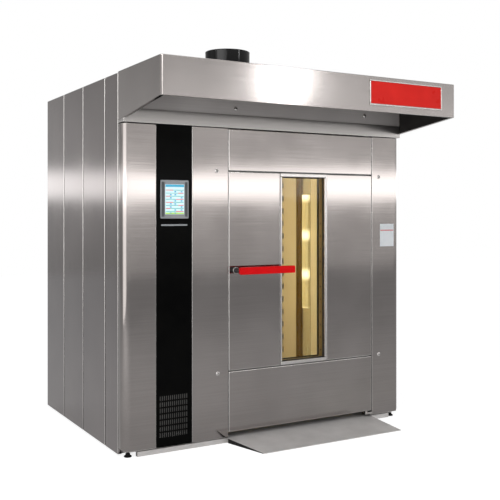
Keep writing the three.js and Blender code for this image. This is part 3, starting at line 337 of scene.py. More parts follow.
# The ramp's coating is gritty and worn pale by wheels.
RAMP_GRIP = painted("worn_grey_ramp_coating", "#c4c1bf", "#d2cfcd", 0.48, grit=0.003, relief=0.5,
                    metallic=0.35)
# Extruded rubber is nearly matt black; in the joints between the sheets the same black is painted shade.
BLACK_RUBBER_AND_JOINT_SHADE = painted("black_rubber_and_joint_shade", "#0b0b0b", "#141413", 0.7, grit=0.003, relief=0.3, shine=0.25)
# The seal is moulded silicone: black, slightly milky where it bends.
SILICONE = painted("black_silicone_seal", "#141413", "#23221f", 0.55, grit=0.004, relief=0.25)
# Insulated parts are cased in galvanised sheet: dull grey with spangles about 10 mm wide.
INSULATION = painted("galvanised_insulation_case", "#7f807e", "#989996", 0.42, grit=0.010, relief=0.1,
                     metallic=0.7)
# The touch panel's frame is sprayed silver, and its grips are plain dark grey mouldings.
BEZEL_SILVER = painted("silver_sprayed_bezel", "#76797c", "#8b8e91", 0.32, grit=0.002, relief=0.08,
                       metallic=0.75)
BEZEL_DARK = painted("dark_grey_moulding", "#3c4042", "#4b4f51", 0.4, grit=0.002, relief=0.1)
# Foils and the enamelled sign are flat, even colours with a soft gloss.
LABEL_WHITE = painted("printed_white_foil", "#dfe4e8", "#eef1f3", 0.35, relief=0.03)
LABEL_RED = painted("printed_red_foil", "#cf3a3c", "#d94a4b", 0.35, relief=0.03)
SIGN_RED = painted("red_enamel_sign", "#d51a12", "#df2219", 0.30, relief=0.03, shine=0.15)
# Blackened steel swallows most light. In the screw sockets and inside the hood's ends the same near black is
# painted shade.
BLACK_STEEL_AND_SHADE = painted("blackened_steel_and_painted_shade", "#1d1c1b", "#2a2928", 0.5, metallic=0.4)


def frosted_lamp_cover():
    """A frosted glass cover with lamps behind it: it glows in soft spots, one each 310 mm of height. The
    frost is drawn 2.5 mm from grain to grain, because the real one is too fine to show."""
    made, tree = material("frosted_lamp_cover_glass")
    spot_pitch = 0.31
    place = add(tree, "ShaderNodeTexCoord").outputs["Object"]
    frost = add(tree, "ShaderNodeTexNoise", {"Scale": 400.0, "Detail": 2.0, "Vector": place})
    relief = add(tree, "ShaderNodeBump", {"Strength": 0.1, "Distance": 0.0004, "Height": frost})
    height = add(tree, "ShaderNodeSeparateXYZ", {0: place})
    turns = add(tree, "ShaderNodeMath",
                {"operation": "MULTIPLY_ADD", 0: height.outputs["Z"], 1: 1 / spot_pitch, 2: 0.371})
    part = add(tree, "ShaderNodeMath", {"operation": "FRACT", 0: turns})
    off = add(tree, "ShaderNodeMath", {"operation": "SUBTRACT", 0: part, 1: 0.5})
    away = add(tree, "ShaderNodeMath", {"operation": "ABSOLUTE", 0: off})
    lamp = add(tree, "ShaderNodeMapRange",
               {"interpolation_type": "SMOOTHSTEP", "From Min": 0.02, "From Max": 0.21, "To Min": 1.0,
                "To Max": 0.0, "Value": away})
    tone = add(tree, "ShaderNodeValToRGB", {"Fac": lamp})
    tone.color_ramp.elements[0].color = linear("#bba978")
    tone.color_ramp.elements[1].color = linear("#fff0cc")
    glow = add(tree, "ShaderNodeMath", {"operation": "MULTIPLY_ADD", 0: lamp, 1: 0.70, 2: 0.04})
    skin = add(tree, "ShaderNodeBsdfPrincipled",
               {"Roughness": 0.35, "Base Color": tone, "Emission Color": tone, "Emission Strength": glow,
                "Normal": relief})
    add(tree, "ShaderNodeOutputMaterial", {"Surface": skin})
    return made


def heatproof_glass():
    """Heat-proof float glass with a coating that hardly reflects, hence the low index: clear with a faint
    green tint, and it lets the lamps shine through."""
    made, tree = material("heatproof_float_glass")
    tint = linear("#f1f6f2")
    place = add(tree, "ShaderNodeTexCoord").outputs["Object"]
    # Float glass is very slightly wavy, about 200 mm from crest to crest.
    waves = add(tree, "ShaderNodeTexNoise", {"Scale": 5.0, "Detail": 1.0, "Vector": place})
    ripple = add(tree, "ShaderNodeBump", {"Strength": 0.02, "Distance": 0.001, "Height": waves})
    glass = add(tree, "ShaderNodeBsdfPrincipled",
                {"Base Color": tint, "Roughness": 0.02, "IOR": 1.14, "Transmission Weight": 1.0,
                 "Normal": ripple})
    open_air = add(tree, "ShaderNodeBsdfTransparent", {"Color": tint})
    ray = add(tree, "ShaderNodeLightPath")
    both = add(tree, "ShaderNodeMixShader", {0: ray.outputs["Is Shadow Ray"], 1: glass, 2: open_air})
    add(tree, "ShaderNodeOutputMaterial", {"Surface": both})
    return made


def lit_screen(name, colour, strength):
    """A lit patch of the screen. A faint grain, 1.5 mm wide, stands for the dots of the display."""
    made, tree = material(name)
    place = add(tree, "ShaderNodeTexCoord").outputs["Object"]
    dots = add(tree, "ShaderNodeTexNoise", {"Scale": 660.0, "Detail": 0.0, "Vector": place})
    tone = add(tree, "ShaderNodeValToRGB", {"Fac": dots})
    dimmed = [part * 0.88 for part in linear(colour)[:3]]
    tone.color_ramp.elements[0].color = (*dimmed, 1)
    tone.color_ramp.elements[1].color = linear(colour)
    skin = add(tree, "ShaderNodeBsdfPrincipled",
               {"Roughness": 0.15, "Emission Strength": strength, "Base Color": tone, "Emission Color": tone})
    add(tree, "ShaderNodeOutputMaterial", {"Surface": skin})
    return made


LAMP_COVER = frosted_lamp_cover()
WINDOW_GLASS = heatproof_glass()
# The screen shines evenly, in the plain colours of its fields.
SCREEN_PALE = lit_screen("display_background", "#c9e4ea", 0.50)
SCREEN_BLUE = lit_screen("display_blue", "#1f9fc4", 0.45)
SCREEN_TEAL = lit_screen("display_teal", "#4fb3ad", 0.40)
SCREEN_RED = lit_screen("display_red", "#d2443f", 0.45)
SCREEN_GREEN = lit_screen("display_green", "#a8d65c", 0.45)

# ---- mesh tools

SHARPEST_SMOOTH = radians(48)  # a fold sharper than this is shaded as an edge


def rounded(bm, edges, radius, segments=2):
    """Rounds edges by a radius in millimetres, and marks the round faces as the piece's second material."""
    round_faces = bmesh.ops.bevel(bm, geom=edges, offset=mm(radius), offset_type="OFFSET", segments=segments,
                                  profile=0.5, affect="EDGES", clamp_overlap=False, material=-1)["faces"]
    for face in round_faces:
        face.material_index = 1


def sharp_edges(bm, angle=40):
    bm.normal_update()
    return [e for e in bm.edges if len(e.link_faces) == 2 and e.calc_face_angle(0) > radians(angle)]


def block(low, high, edge=0.0):
    """A block between two corners in the frame, its edges rounded by edge millimetres."""
    bm = bmesh.new()
    bmesh.ops.create_cube(bm, size=1)
    bmesh.ops.scale(bm, vec=high - low, verts=bm.verts)
    bmesh.ops.translate(bm, vec=(low + high) / 2, verts=bm.verts)
    if edge:
        rounded(bm, bm.edges[:], edge)
    return bm


def slab(x, y, z, edge=0.0):
    """A block given by its three spans in shop millimetres."""
    return block(at(x[0], y[0], z[0]), at(x[1], y[1], z[1]), edge)


def pushed(bm, step):
    """Makes a body of a flat outline by pushing it a step along."""
    grown = bmesh.ops.extrude_face_region(bm, geom=bm.faces[:])
    moved = [v for v in grown["geom"] if isinstance(v, bmesh.types.BMVert)]
    bmesh.ops.translate(bm, vec=step, verts=moved)


def prism(points, axis, span, corners=None, edge=0.0, arc=10, segments=2):
    """An outline pushed along an axis. Points are (x, y), (x, z) or (y, z) in shop millimetres, and corners
    gives the radius of each point that is rounded, by its number in the list."""
    bm = bmesh.new()
    low, high = span
    places = {"X": lambda y, z: at(low, y, z), "Y": lambda x, z: at(x, low, z),
              "Z": lambda x, y: at(x, y, low)}
    verts = [bm.verts.new(places[axis](*point)) for point in points]
    bm.faces.new(verts)
    for index, radius in (corners or {}).items():
        bmesh.ops.bevel(bm, geom=[verts[index]], offset=mm(radius), offset_type="OFFSET", segments=arc,
                        profile=0.5, affect="VERTICES", clamp_overlap=False, material=-1)
    pushed(bm, Vector((axis == "X", axis == "Y", axis == "Z")) * mm(high - low))
    bmesh.ops.recalc_face_normals(bm, faces=bm.faces)
    if edge:
        rounded(bm, sharp_edges(bm), edge, segments)
    return bm


def lathe(profile, centre, axis="Z", steps=48):
    """A turned shape: (radius, length along the axis) pairs in millimetres, round a centre."""
    bm = bmesh.new()
    origin = at(*centre)
    along = Vector((axis == "X", axis == "Y", axis == "Z"))
    out = Vector((0, 0, 1)) if axis != "Z" else Vector((1, 0, 0))
    verts = [bm.verts.new(origin + out * mm(radius) + along * mm(length)) for radius, length in profile]
    edges = [bm.edges.new(pair) for pair in zip(verts, verts[1:])]
    bmesh.ops.spin(bm, geom=verts + edges, cent=origin, axis=along, angle=2 * pi, steps=steps, use_merge=True,
                   use_duplicate=False)
    bmesh.ops.remove_doubles(bm, verts=bm.verts, dist=1e-6)
    bmesh.ops.recalc_face_normals(bm, faces=bm.faces)
    return bm


def gather(*shapes):
    """Several shapes as one."""
    whole = bmesh.new()
    for shape in shapes:
        parcel = bpy.data.meshes.new("parcel")
        shape.to_mesh(parcel)
        shape.free()
        whole.from_mesh(parcel)
        bpy.data.meshes.remove(parcel)
    return whole


def folded_sheet(node, inwards, edge, gap=0.0):
    """A sheet with four returned edges in a node's place: a rounded block without its inner face. A gap in
    millimetres draws it in from its neighbours, so that the open joints between the sheets show."""
    low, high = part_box(node)
    drawn_in = Vector([0 if abs(part) > 0.5 else mm(gap) for part in inwards])
    bm = block(low + drawn_in, high - drawn_in)
    bm.normal_update()
    inner = max(bm.faces, key=lambda f: f.normal.dot(Vector(inwards)))
    outer_edges = [e for e in bm.edges if e not in inner.edges[:]]
    bmesh.ops.delete(bm, geom=[inner], context="FACES_ONLY")
    rounded(bm, [e for e in outer_edges if e.is_valid], edge, 3)
    return bm


def softened(node, edge, angle=40):
    """A node's own shape, merged and with its sharp edges rounded."""
    bm = bmesh.new()
    bm.from_mesh(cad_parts[node].data)
    bmesh.ops.remove_doubles(bm, verts=bm.verts, dist=1e-5)
    bmesh.ops.dissolve_limit(bm, angle_limit=radians(1), verts=bm.verts, edges=bm.edges)
    rounded(bm, sharp_edges(bm, angle), edge)
    return bm


def placed(name, bm):
    """A shape as an object of the scene."""
    mesh = bpy.data.meshes.new(name)
    bm.to_mesh(mesh)
    bm.free()
    made = bpy.data.objects.new(name, mesh)
    scene.collection.objects.link(made)
    return made


def walled(made, wall):
    """Gives an open shell its sheet thickness in millimetres, inwards."""
    shell = made.modifiers.new("sheet_wall", "SOLIDIFY")
    shell.thickness = mm(wall)
    shell.offset = -1


def drilled(shape, tool, wall=0.0):
    """A shape with a tool's space taken out of it. A shell gets its wall in millimetres first."""
    stock, drill = placed("stock", shape), placed("drill", tool)
    if wall:
        walled(stock, wall)
    cut = stock.modifiers.new("cut", "BOOLEAN")
    cut.operation = "DIFFERENCE"
    cut.solver = "EXACT"
    cut.object = drill
    bpy.context.view_layer.update()
    result = bmesh.new()
    result.from_object(stock, bpy.context.evaluated_depsgraph_get())
    for made in (stock, drill):
        mesh = made.data
        bpy.data.objects.remove(made)
        bpy.data.meshes.remove(mesh)
    return result


def piece(name, bm, body, surface, slot, *nodes, wall=0.0, bends=None):
    """A finished piece. It rides on a body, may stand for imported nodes, and may get a wall in millimetres.
    bends is the finish of its rounded edges, where that isn't the finish of the rest."""
    if not wall:
        bmesh.ops.recalc_face_normals(bm, faces=bm.faces)
    for face in bm.faces:
        face.material_index = face.material_index if bends else 0
    made = placed(name, bm)
    made.data.shade_smooth()
    made.data.set_sharp_from_angle(angle=SHARPEST_SMOOTH)
    for finish in (surface, bends):
        if finish:
            made.data.materials.append(finish)
    if wall:
        walled(made, wall)
    level = made.modifiers.new("even_shading", "WEIGHTED_NORMAL")
    level.keep_sharp = True
    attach(made, body)
    if nodes:
        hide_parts(*nodes)


def dress(surface, *nodes):
    """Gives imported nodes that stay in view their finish."""
    for node in nodes:
        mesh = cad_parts[node].data
        mesh.materials.clear()
        mesh.materials.append(surface)

# ---- studio floor

# The floor ends 7 m to the left, so that the rounded corner shows the tall window down to the floor's edge.
FLOOR_HALF = 14
FLOOR_LEFT = -7
floor_shape = bmesh.new()
bmesh.ops.create_grid(floor_shape, x_segments=1, y_segments=1, size=FLOOR_HALF)
bmesh.ops.translate(floor_shape, vec=(FLOOR_LEFT + FLOOR_HALF, 0, 0), verts=floor_shape.verts)
studio_floor = placed("studio_floor", floor_shape)
studio_floor.data.materials.append(pale_floor_paint())

# ---- casing


def casing_sheets():
    """Folded sheets on the sides, the back and the roof."""
    for number in (1, 2, 3, 4):
        for hand, inwards in (("left", (1, 0, 0)), ("right", (-1, 0, 0))):
            panel = f"{hand}_side_panel_{number}"
            piece(panel.replace("panel", "sheet"), folded_sheet(panel, inwards, 3, gap=6), "oven", SHADED_SIDE_STEEL,
                  "satin_steel", panel, wall=SHEET_WALL, bends=HIGHLIGHT_EDGE_STEEL)
    for number in (1, 2):
        back, roof = f"back_panel_{number}", f"roof_panel_{number}"
        piece(f"back_sheet_{number}", folded_sheet(back, (0, -1, 0), 6, gap=3.0), "oven", BACK_STEEL,
              "satin_steel", back, wall=SHEET_WALL, bends=HIGHLIGHT_EDGE_STEEL)
        piece(f"roof_sheet_{number}", folded_sheet(roof, (0, 0, -1), 6, gap=3.0), "oven", ROOF_STEEL,
              "satin_steel", roof, wall=SHEET_WALL, bends=HIGHLIGHT_EDGE_STEEL)


def joint_shade_strips():
    """A black strip in each open joint between the sheets, 7 to 9 mm below their faces: painted shade for the
    depth of the joints.
    """
    half = 12
    below = (7, 9)
    up = (10, SHEET_TOP)
    roof_seam = 807
    strips = []
    for first, second in ((1, 2), (2, 3), (3, 4)):
        joint = (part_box(f"left_side_panel_{first}")[1].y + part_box(f"left_side_panel_{second}")[0].y) / 2
        seam = joint * 1000 - DOOR_FACE
        for side in (below, mirrored(below)):
            strips.append(slab(side, (seam - half, seam + half), up))
    across = (BODY_WIDTH / 2 - half, BODY_WIDTH / 2 + half)
    strips.append(slab(across, (BODY_DEPTH - below[1], BODY_DEPTH - below[0]), up))
    strips.append(slab((30, BODY_WIDTH - 30), (roof_seam - half, roof_seam + half),
                       (BODY_TOP - below[1], BODY_TOP - below[0])))
    return gather(*strips)


casing_sheets()
piece("joint_shade_strips", joint_shade_strips(), "oven", BLACK_RUBBER_AND_JOINT_SHADE, "black_rubber")

# ---- front panels

FRONT_HEIGHTS = (40, 1988)
LEFT_CORNER_END = 212
CABINET = (451, 703)
PILLAR_START = 1851
CORNER_BACK = 79  # how far back the corner panels reach
CORNER_RADIUS = 50
CORNER_CUTS = {-1: 12, 1: 30}  # how much of its lower outer corner the left and the right corner panel lack
FOLD = 25  # depth of a returned edge
FOLD_CORNER = 52  # where the returned edges of a corner panel meet, cut across
RETURN_BACK = 109.7  # how far back the sheets beside a door opening are returned
RETURN_WALL = 2.5


def corner_cut(bm, side):
    """Cuts the lower outer corner off a front corner panel, at 45 degrees. side is -1 for the left one."""
    foot = at(BODY_WIDTH / 2 * (1 + side), 0, FRONT_HEIGHTS[0])
    away = Vector((side, 0, -1)).normalized()
    cut = bmesh.ops.bisect_plane(bm, geom=bm.verts[:] + bm.edges[:] + bm.faces[:], dist=1e-6,
                                 plane_co=foot + Vector((0, 0, mm(CORNER_CUTS[side]))), plane_no=away,
                                 clear_outer=True)
    rim = [e for e in cut["geom_cut"] if isinstance(e, bmesh.types.BMEdge)]
    bmesh.ops.contextual_create(bm, geom=rim)
    return bm


def left_corner():
    plan = [(0, CORNER_BACK), (0, 0), (LEFT_CORNER_END, 0), (LEFT_CORNER_END, FOLD), (FOLD_CORNER, FOLD),
            (FOLD, FOLD_CORNER), (FOLD, CORNER_BACK)]
    return corner_cut(prism(plan, "Z", FRONT_HEIGHTS, {1: CORNER_RADIUS}, 3.5), -1)


def door_pillar():
    hook = PILLAR_START + FOLD
    inner = PILLAR_START + RETURN_WALL
    plan = [(BODY_WIDTH, CORNER_BACK), (BODY_WIDTH, 0), (PILLAR_START, 0), (PILLAR_START, RETURN_BACK),
            (hook, RETURN_BACK), (hook, RETURN_BACK - SHEET_WALL), (inner, RETURN_BACK - SHEET_WALL),
            (inner, FOLD), (BODY_WIDTH - FOLD_CORNER, FOLD), (BODY_WIDTH - FOLD, FOLD_CORNER),
            (BODY_WIDTH - FOLD, CORNER_BACK)]
    return corner_cut(prism(plan, "Z", FRONT_HEIGHTS, {1: CORNER_RADIUS}, 2), 1)


def right_cabinet():
    start, end = CABINET
    hook = end - FOLD
    inner = end - RETURN_WALL
    plan = [(start, 0), (end, 0), (end, RETURN_BACK), (hook, RETURN_BACK), (hook, RETURN_BACK - SHEET_WALL),
            (inner, RETURN_BACK - SHEET_WALL), (inner, FOLD), (start, FOLD)]
    return prism(plan, "Z", FRONT_HEIGHTS, None, 2)


piece("left_corner_sheet", left_corner(), "oven", LIT_FRONT_STEEL, "satin_steel", "left_cabinet_panel",
      bends=HIGHLIGHT_EDGE_STEEL)
piece("door_pillar_sheet", door_pillar(), "oven", LIT_FRONT_STEEL, "satin_steel", "door_pillar", bends=HIGHLIGHT_EDGE_STEEL)
piece("right_cabinet_sheet", right_cabinet(), "oven", LIT_FRONT_STEEL, "satin_steel", "right_cabinet_panel",
      bends=HIGHLIGHT_EDGE_STEEL)
piece("header_strip_sheet", softened("header_strip", 1.5), "oven", STRIP_STEEL, "bright_steel",
      "header_strip", bends=HIGHLIGHT_EDGE_STEEL)
piece("header_fascia_sheet", folded_sheet("header_fascia", (0, 1, 0), 2), "oven", DULL_STEEL, "satin_steel",
      "header_fascia", wall=SHEET_WALL)
# The base frame's pale rail steel is painted light.
dress(RAIL_STEEL_PAINTED_LIGHT, "base_frame")

# A levelling foot: a rubber puck and, above it, the nut and threaded stem.
FOOT_PROFILE = [(0, 0), (22, 0), (24, 2), (24, 5), (22, 7), (15, 10.5), (14.4, 12), (14.4, 20), (8.6, 20),
                (8.6, 29.7), (0, 29.7)]
for number in (1, 2, 3, 4):
    low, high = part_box(f"levelling_foot_{number}")
    middle = (low + high) / 2
    centre = (middle.x * 1000 - LEFT_SIDE, middle.y * 1000 - DOOR_FACE, 0)
    piece(f"rubber_foot_{number}", lathe(FOOT_PROFILE, centre, steps=32), "oven", BLACK_RUBBER_AND_JOINT_SHADE, "black_rubber",
          f"levelling_foot_{number}")

# ---- hood and collar

HOOD_FRONT, HOOD_BACK = -550, 79.7
HOOD_LOW_FRONT, HOOD_LOW_BACK = 2083, 2007
HEADER_FACE = 80
HOOD_SLOPE = (HOOD_LOW_FRONT - HOOD_LOW_BACK) / (HEADER_FACE - HOOD_FRONT)
HOOD_WALL = 3
COLLAR = (530, -310)
COLLAR_BORE = 127


def hood_edge(y):
    """Height of the hood's lower edge, which rises towards the front."""
    return HOOD_LOW_BACK + (HEADER_FACE - y) * HOOD_SLOPE


def hood():
    """The hood's shell, cut along its sloping lower edge and open to the header behind it."""
    plan = [(0, HOOD_BACK), (0, HOOD_FRONT), (BODY_WIDTH, HOOD_FRONT), (BODY_WIDTH, HOOD_BACK)]
    below_edge = 1990
    bm = prism(plan, "Z", (below_edge, BODY_TOP), {1: 22, 2: 8}, arc=8)
    bmesh.ops.bisect_plane(bm, geom=bm.verts[:] + bm.edges[:] + bm.faces[:], dist=1e-6,
                           plane_co=at(0, HEADER_FACE, HOOD_LOW_BACK),
                           plane_no=Vector((0, -HOOD_SLOPE, -1)).normalized(), clear_outer=True)
    bm.normal_update()
    behind = [f for f in bm.faces if f.normal.y > 0.99]
    bmesh.ops.delete(bm, geom=behind, context="FACES_ONLY")
    just_below_top = at(0, 0, BODY_TOP - 1).z
    top_rim = [e for e in sharp_edges(bm, 60) if min(v.co.z for v in e.verts) > just_below_top]
    rounded(bm, top_rim, 3, 3)
    return bm


def in_both_ends(outline, span):
    """An outline in (y, z), pushed across a span of widths inside the hood's left end and its right end."""
    return [prism(outline, "X", end) for end in (span, mirrored(span))]


def hood_lips():
    """The lower edges are folded inwards, so that no raw edge shows."""
    rear, front, thick = -7, -547, 2
    lip = [(rear, hood_edge(rear)), (rear, hood_edge(rear) + thick), (front, hood_edge(front) + thick),
           (front, hood_edge(front))]
    front_lip = slab((23, 2089), (-547.5, -532), (HOOD_LOW_FRONT, HOOD_LOW_FRONT + thick), 0.6)
    return gather(*in_both_ends(lip, (2.5, 20)), front_lip)


def hood_end_shade_plates():
    """A near-black plate inside each of the hood's ends, seen below the right end: painted shade for the dark
    inside of the hood.
    """
    rear, front, top, clear = -8, -545, 2294, 3
    plate = [(rear, hood_edge(rear) + clear), (rear, top), (front, top), (front, hood_edge(front) + clear)]
    return gather(*in_both_ends(plate, (3.3, 4.3)))


def collar_tube():
    seat = BODY_TOP + 0.3
    profile = [(COLLAR_BORE, seat), (144, seat), (144, 2303), (133, 2303.3), (130, 2306), (130, 2391),
               (131.5, 2393.5), (130.5, 2395), (127.5, 2395), (COLLAR_BORE, 2393), (COLLAR_BORE, seat)]
    return lathe(profile, (*COLLAR, 0), steps=72)


def collar_rivets():
    """Eight rivets hold the collar's flange."""
    count, circle = 8, 138
    profile = [(0, 2305.4), (1.8, 2305.0), (3, 2303.6), (3, 2302.6), (0, 2302.6)]
    rivets = []
    for step in range(count):
        angle = 2 * pi * (step + 0.5) / count
        x, y = COLLAR[0] + circle * cos(angle), COLLAR[1] + circle * sin(angle)
        rivets.append(lathe(profile, (x, y, 0), steps=12))
    return gather(*rivets)


bore = lathe(rectangle((0, COLLAR_BORE), (BODY_TOP - 20, BODY_TOP + 20)), (*COLLAR, 0), steps=64)
piece("hood_sheet", drilled(hood(), bore, wall=HOOD_WALL), "oven", HOOD_STEEL, "bright_steel", "hood_shell")
piece("hood_lips", hood_lips(), "oven", TRIM_STEEL, "bright_steel")
piece("hood_end_shade_plates", hood_end_shade_plates(), "oven", BLACK_STEEL_AND_SHADE, "black_steel")
piece("collar_tube", collar_tube(), "oven", COLLAR_ENAMEL, "black_steel", "vent_collar")
piece("collar_rivets", collar_rivets(), "oven", BLACK_STEEL_AND_SHADE, "black_steel")

# ---- door

WINDOW = (1106, 1446)
WINDOW_HEIGHTS = (480, 1693)


def frame_bars(x, z, y, wide, high, edge):
    """Four bars round an opening, the upright ones between the level ones. y is their front and back."""
    across = inset(x, -wide)
    between = inset(z, 0.2)
    return gather(
        slab(across, y, (z[1], z[1] + high), edge),
        slab(across, y, (z[0] - high, z[0]), edge),
        slab((x[0] - wide, x[0]), y, between, edge),
        slab((x[1], x[1] + wide), y, between, edge),
    )


def glazing_bead(y):
    """A black bead round a pane, just inside the window frame."""
    return frame_bars(inset(WINDOW, 5), inset(WINDOW_HEIGHTS, 5), y, 5, 5, 1.5)


def window_reveal():
    """The sheet that lines the window's sides between the panes, browned by the heat."""
    return frame_bars(inset(WINDOW, -2), inset(WINDOW_HEIGHTS, -2), (31.6, 73.4), 1.8, 1.8, 0.4)


def window_reveal_screws():
    """A row of small screws on either side of the reveal, halfway between the panes."""
    left, right = inset(WINDOW, -2)
    heads = []
    for z in range(522, 1672, 86):
        for wall, out in ((left, 1), (right, -1)):
            profile = [(0, wall + out * 3.2), (3, wall + out * 2.8), (5, wall + out * 1.4),
                       (5.4, wall - out * 0.2), (0, wall - out * 0.2)]
            heads.append(lathe(profile, (0, 54, z), axis="X", steps=12))
    return gather(*heads)


def door_seal():
    """A bulb seal on the door's back: a flat foot with a round bead, round the doorway."""
    outer_x, outer_z = (779, 1816), (46, 1956)
    inner_x, inner_z = inset(outer_x, 22), (96, 1934)
    foot = (90.3, 98)
    bead_in = 11  # from the foot's outer edge to the bead's middle
    bead_radius = 8
    ends = inset(outer_z, 1)
    bars = []
    for x, middle in (((outer_x[0], inner_x[0]), outer_x[0] + bead_in),
                      ((inner_x[1], outer_x[1]), outer_x[1] - bead_in)):
        bars.append(slab(x, foot, outer_z, 1.5))
        bars.append(lathe(rectangle((0, bead_radius), ends), (middle, foot[1], 0), steps=20))
    ends = inset(inner_x, -12)
    for z, middle in (((outer_z[0], inner_z[0]), outer_z[0] + bead_in),
                      ((inner_z[1], outer_z[1]), outer_z[1] - bead_in)):
        bars.append(slab(inner_x, foot, z, 1.5))
        bars.append(lathe(rectangle((0, bead_radius), ends), (0, foot[1], middle), axis="X", steps=20))
    return gather(*bars)


for skin in ("door_top_skin", "door_bottom_skin", "door_left_skin", "door_right_skin"):
    piece(skin.replace("skin", "sheet"), folded_sheet(skin, (0, 1, 0), 5, gap=1.5), "door", LIT_FRONT_STEEL,
          "satin_steel", skin, wall=SHEET_WALL, bends=HIGHLIGHT_EDGE_STEEL)
piece("window_frame", frame_bars(WINDOW, WINDOW_HEIGHTS, (-1.5, 22), 12, 23, 2.2), "door", UPRIGHT_TRIM,
      "bright_steel", "window_trim")
piece("glazing_bead", glazing_bead((17, 24.6)), "door", SILICONE, "black_rubber")
piece("inner_glazing_bead", glazing_bead((80.4, 88)), "door", SILICONE, "black_rubber")
piece("window_reveal", window_reveal(), "door", LINING_REVEAL, "lining_steel")
piece("window_reveal_screws", window_reveal_screws(), "door", BLACK_STEEL_AND_SHADE, "black_steel")
dress(WINDOW_GLASS, "outer_glass", "inner_glass")
dress(INSULATION, "door_core")
dress(HOOD_STEEL, "door_liner")
piece("door_seal", door_seal(), "door", SILICONE, "black_rubber", "door_gasket")

# ---- handle and latch

SPINDLE = (760, 1090)
SPINDLE_LINE = (SPINDLE[0], 0, SPINDLE[1])
LEVER = (745, 1156)
LEVER_HEIGHTS = (1066.5, 1113.5)
LEVER_SPAN = (-85.3, -60.3)


def red_lever():
    return prism(rectangle(LEVER, LEVER_HEIGHTS), "Y", LEVER_SPAN, {0: 12, 1: 7, 2: 7, 3: 12}, 6, arc=8,
                 segments=4)


def handle_boss():
    """The turned boss behind the lever, and the spindle that runs through the door."""
    profile = [(0, -60.2), (15, -60.2), (17, -58.5), (18, -55), (15, -42), (14.5, -14), (15.5, -6.5),
               (11, -6), (11, 99.3), (0, 99.3)]
    return lathe(profile, SPINDLE_LINE, axis="Y")


def spindle_rose():
    """A pressed collar on the door's skin, round the spindle."""
    profile = [(16, -0.3), (16, -3.5), (17, -4.6), (19, -5), (21, -4.4), (22, -3), (22, -0.3), (16, -0.3)]
    return lathe(profile, SPINDLE_LINE, axis="Y")


def lever_screw_cap():
    profile = [(0, -86.6), (6, -86.3), (8, -85.6), (8.5, -84.5), (0, -84.5)]
    return lathe(profile, (SPINDLE[0] + 8, 0, SPINDLE[1]), axis="Y", steps=32)


piece("red_lever", red_lever(), "handle", RED_NYLON, "red_plastic", "handle_lever")
piece("handle_boss", handle_boss(), "handle", HUB_PAINT, "dark_paint", "handle_hub")
piece("spindle_rose", spindle_rose(), "door", STRIP_STEEL, "bright_steel")
piece("lever_screw_cap", lever_screw_cap(), "handle", RED_NYLON, "red_plastic")
dress(TRIM_STEEL, "latch_cam", "latch_keeper", "lower_hinge", "upper_hinge")

# ---- controls

PANEL = (235, 422)
PANEL_HEIGHTS = (1420, 1655)
SCREEN = (265, 392)
SCREEN_HEIGHTS = (1446, 1629)
SCREEN_LAYER = (-11.7, -11.2)


def all_round(radius):
    """The same radius for the four corners of a rectangle."""
    return {corner: radius for corner in range(4)}


def touch_bezel():
    """A softly rounded frame round the screen, with a pocket for the glass."""
    plate = prism(rectangle(PANEL, PANEL_HEIGHTS), "Y", (-12, -0.3), all_round(8), 2.5, segments=3)
    return drilled(plate, slab(SCREEN, (-20, -7), SCREEN_HEIGHTS))


def bezel_side_grips():
    """Dark moulded grips run down both sides of the screen."""
    return gather(*[slab(x, (-13, -11.4), (1432, 1643), 0.7) for x in ((241, 260), (397, 414))])


def display_bar(z):
    """A bar across the screen, at its head or its foot."""
    return slab(inset(SCREEN, 2), SCREEN_LAYER, z)


def display_rules():
    """Eight rules whose two colours swap sides from row to row, and rows of tiles below them."""
    left, right = 270, 387
    first_row, pitch = 1591, 18.5
    splits = (318, 352, 300, 336)
    red_rules, teal_rules, tiles = [], [], []
    for row in range(8):
        z = first_row - row * pitch
        halves = [(left, splits[row % 4]), (splits[row % 4], right)]
        red, teal = halves if row % 2 == 0 else reversed(halves)
        red_rules.append(slab(red, SCREEN_LAYER, (z, z + 4.2)))
        teal_rules.append(slab(teal, SCREEN_LAYER, (z, z + 4.2)))
        for column, x in enumerate((296, 326, 368)):
            if (row + column) % 3:
                tiles.append(slab((x, x + 12), SCREEN_LAYER, (z - 11, z - 4), 0.2))
    return gather(*red_rules), gather(*teal_rules), gather(*tiles)


def column_bar():
    """A silver bar with round ends, under the touch panel."""
    return prism(rectangle((242, 418), (1376, 1386)), "Y", (-2.6, -0.2), all_round(4.9), 0.8, arc=6)


def inlet_vanes():
    """The air inlet's louvres: small tilted vanes behind the slots of the black column."""
    rows, row_pitch = 7, 37
    slots, slot_pitch = 14, 13.6
    vanes = []
    for row in range(rows):
        bottom = 98 + row * row_pitch
        for slot in range(slots):
            left = 235 + slot * slot_pitch
            plan = [(left + 0.2, -0.4), (left + 5.8, 1.4), (left + 5.8, 2.2), (left + 0.2, 0.4)]
            vanes.append(prism(plan, "Z", (bottom + 0.2, bottom + 27.8)))
    return gather(*vanes)


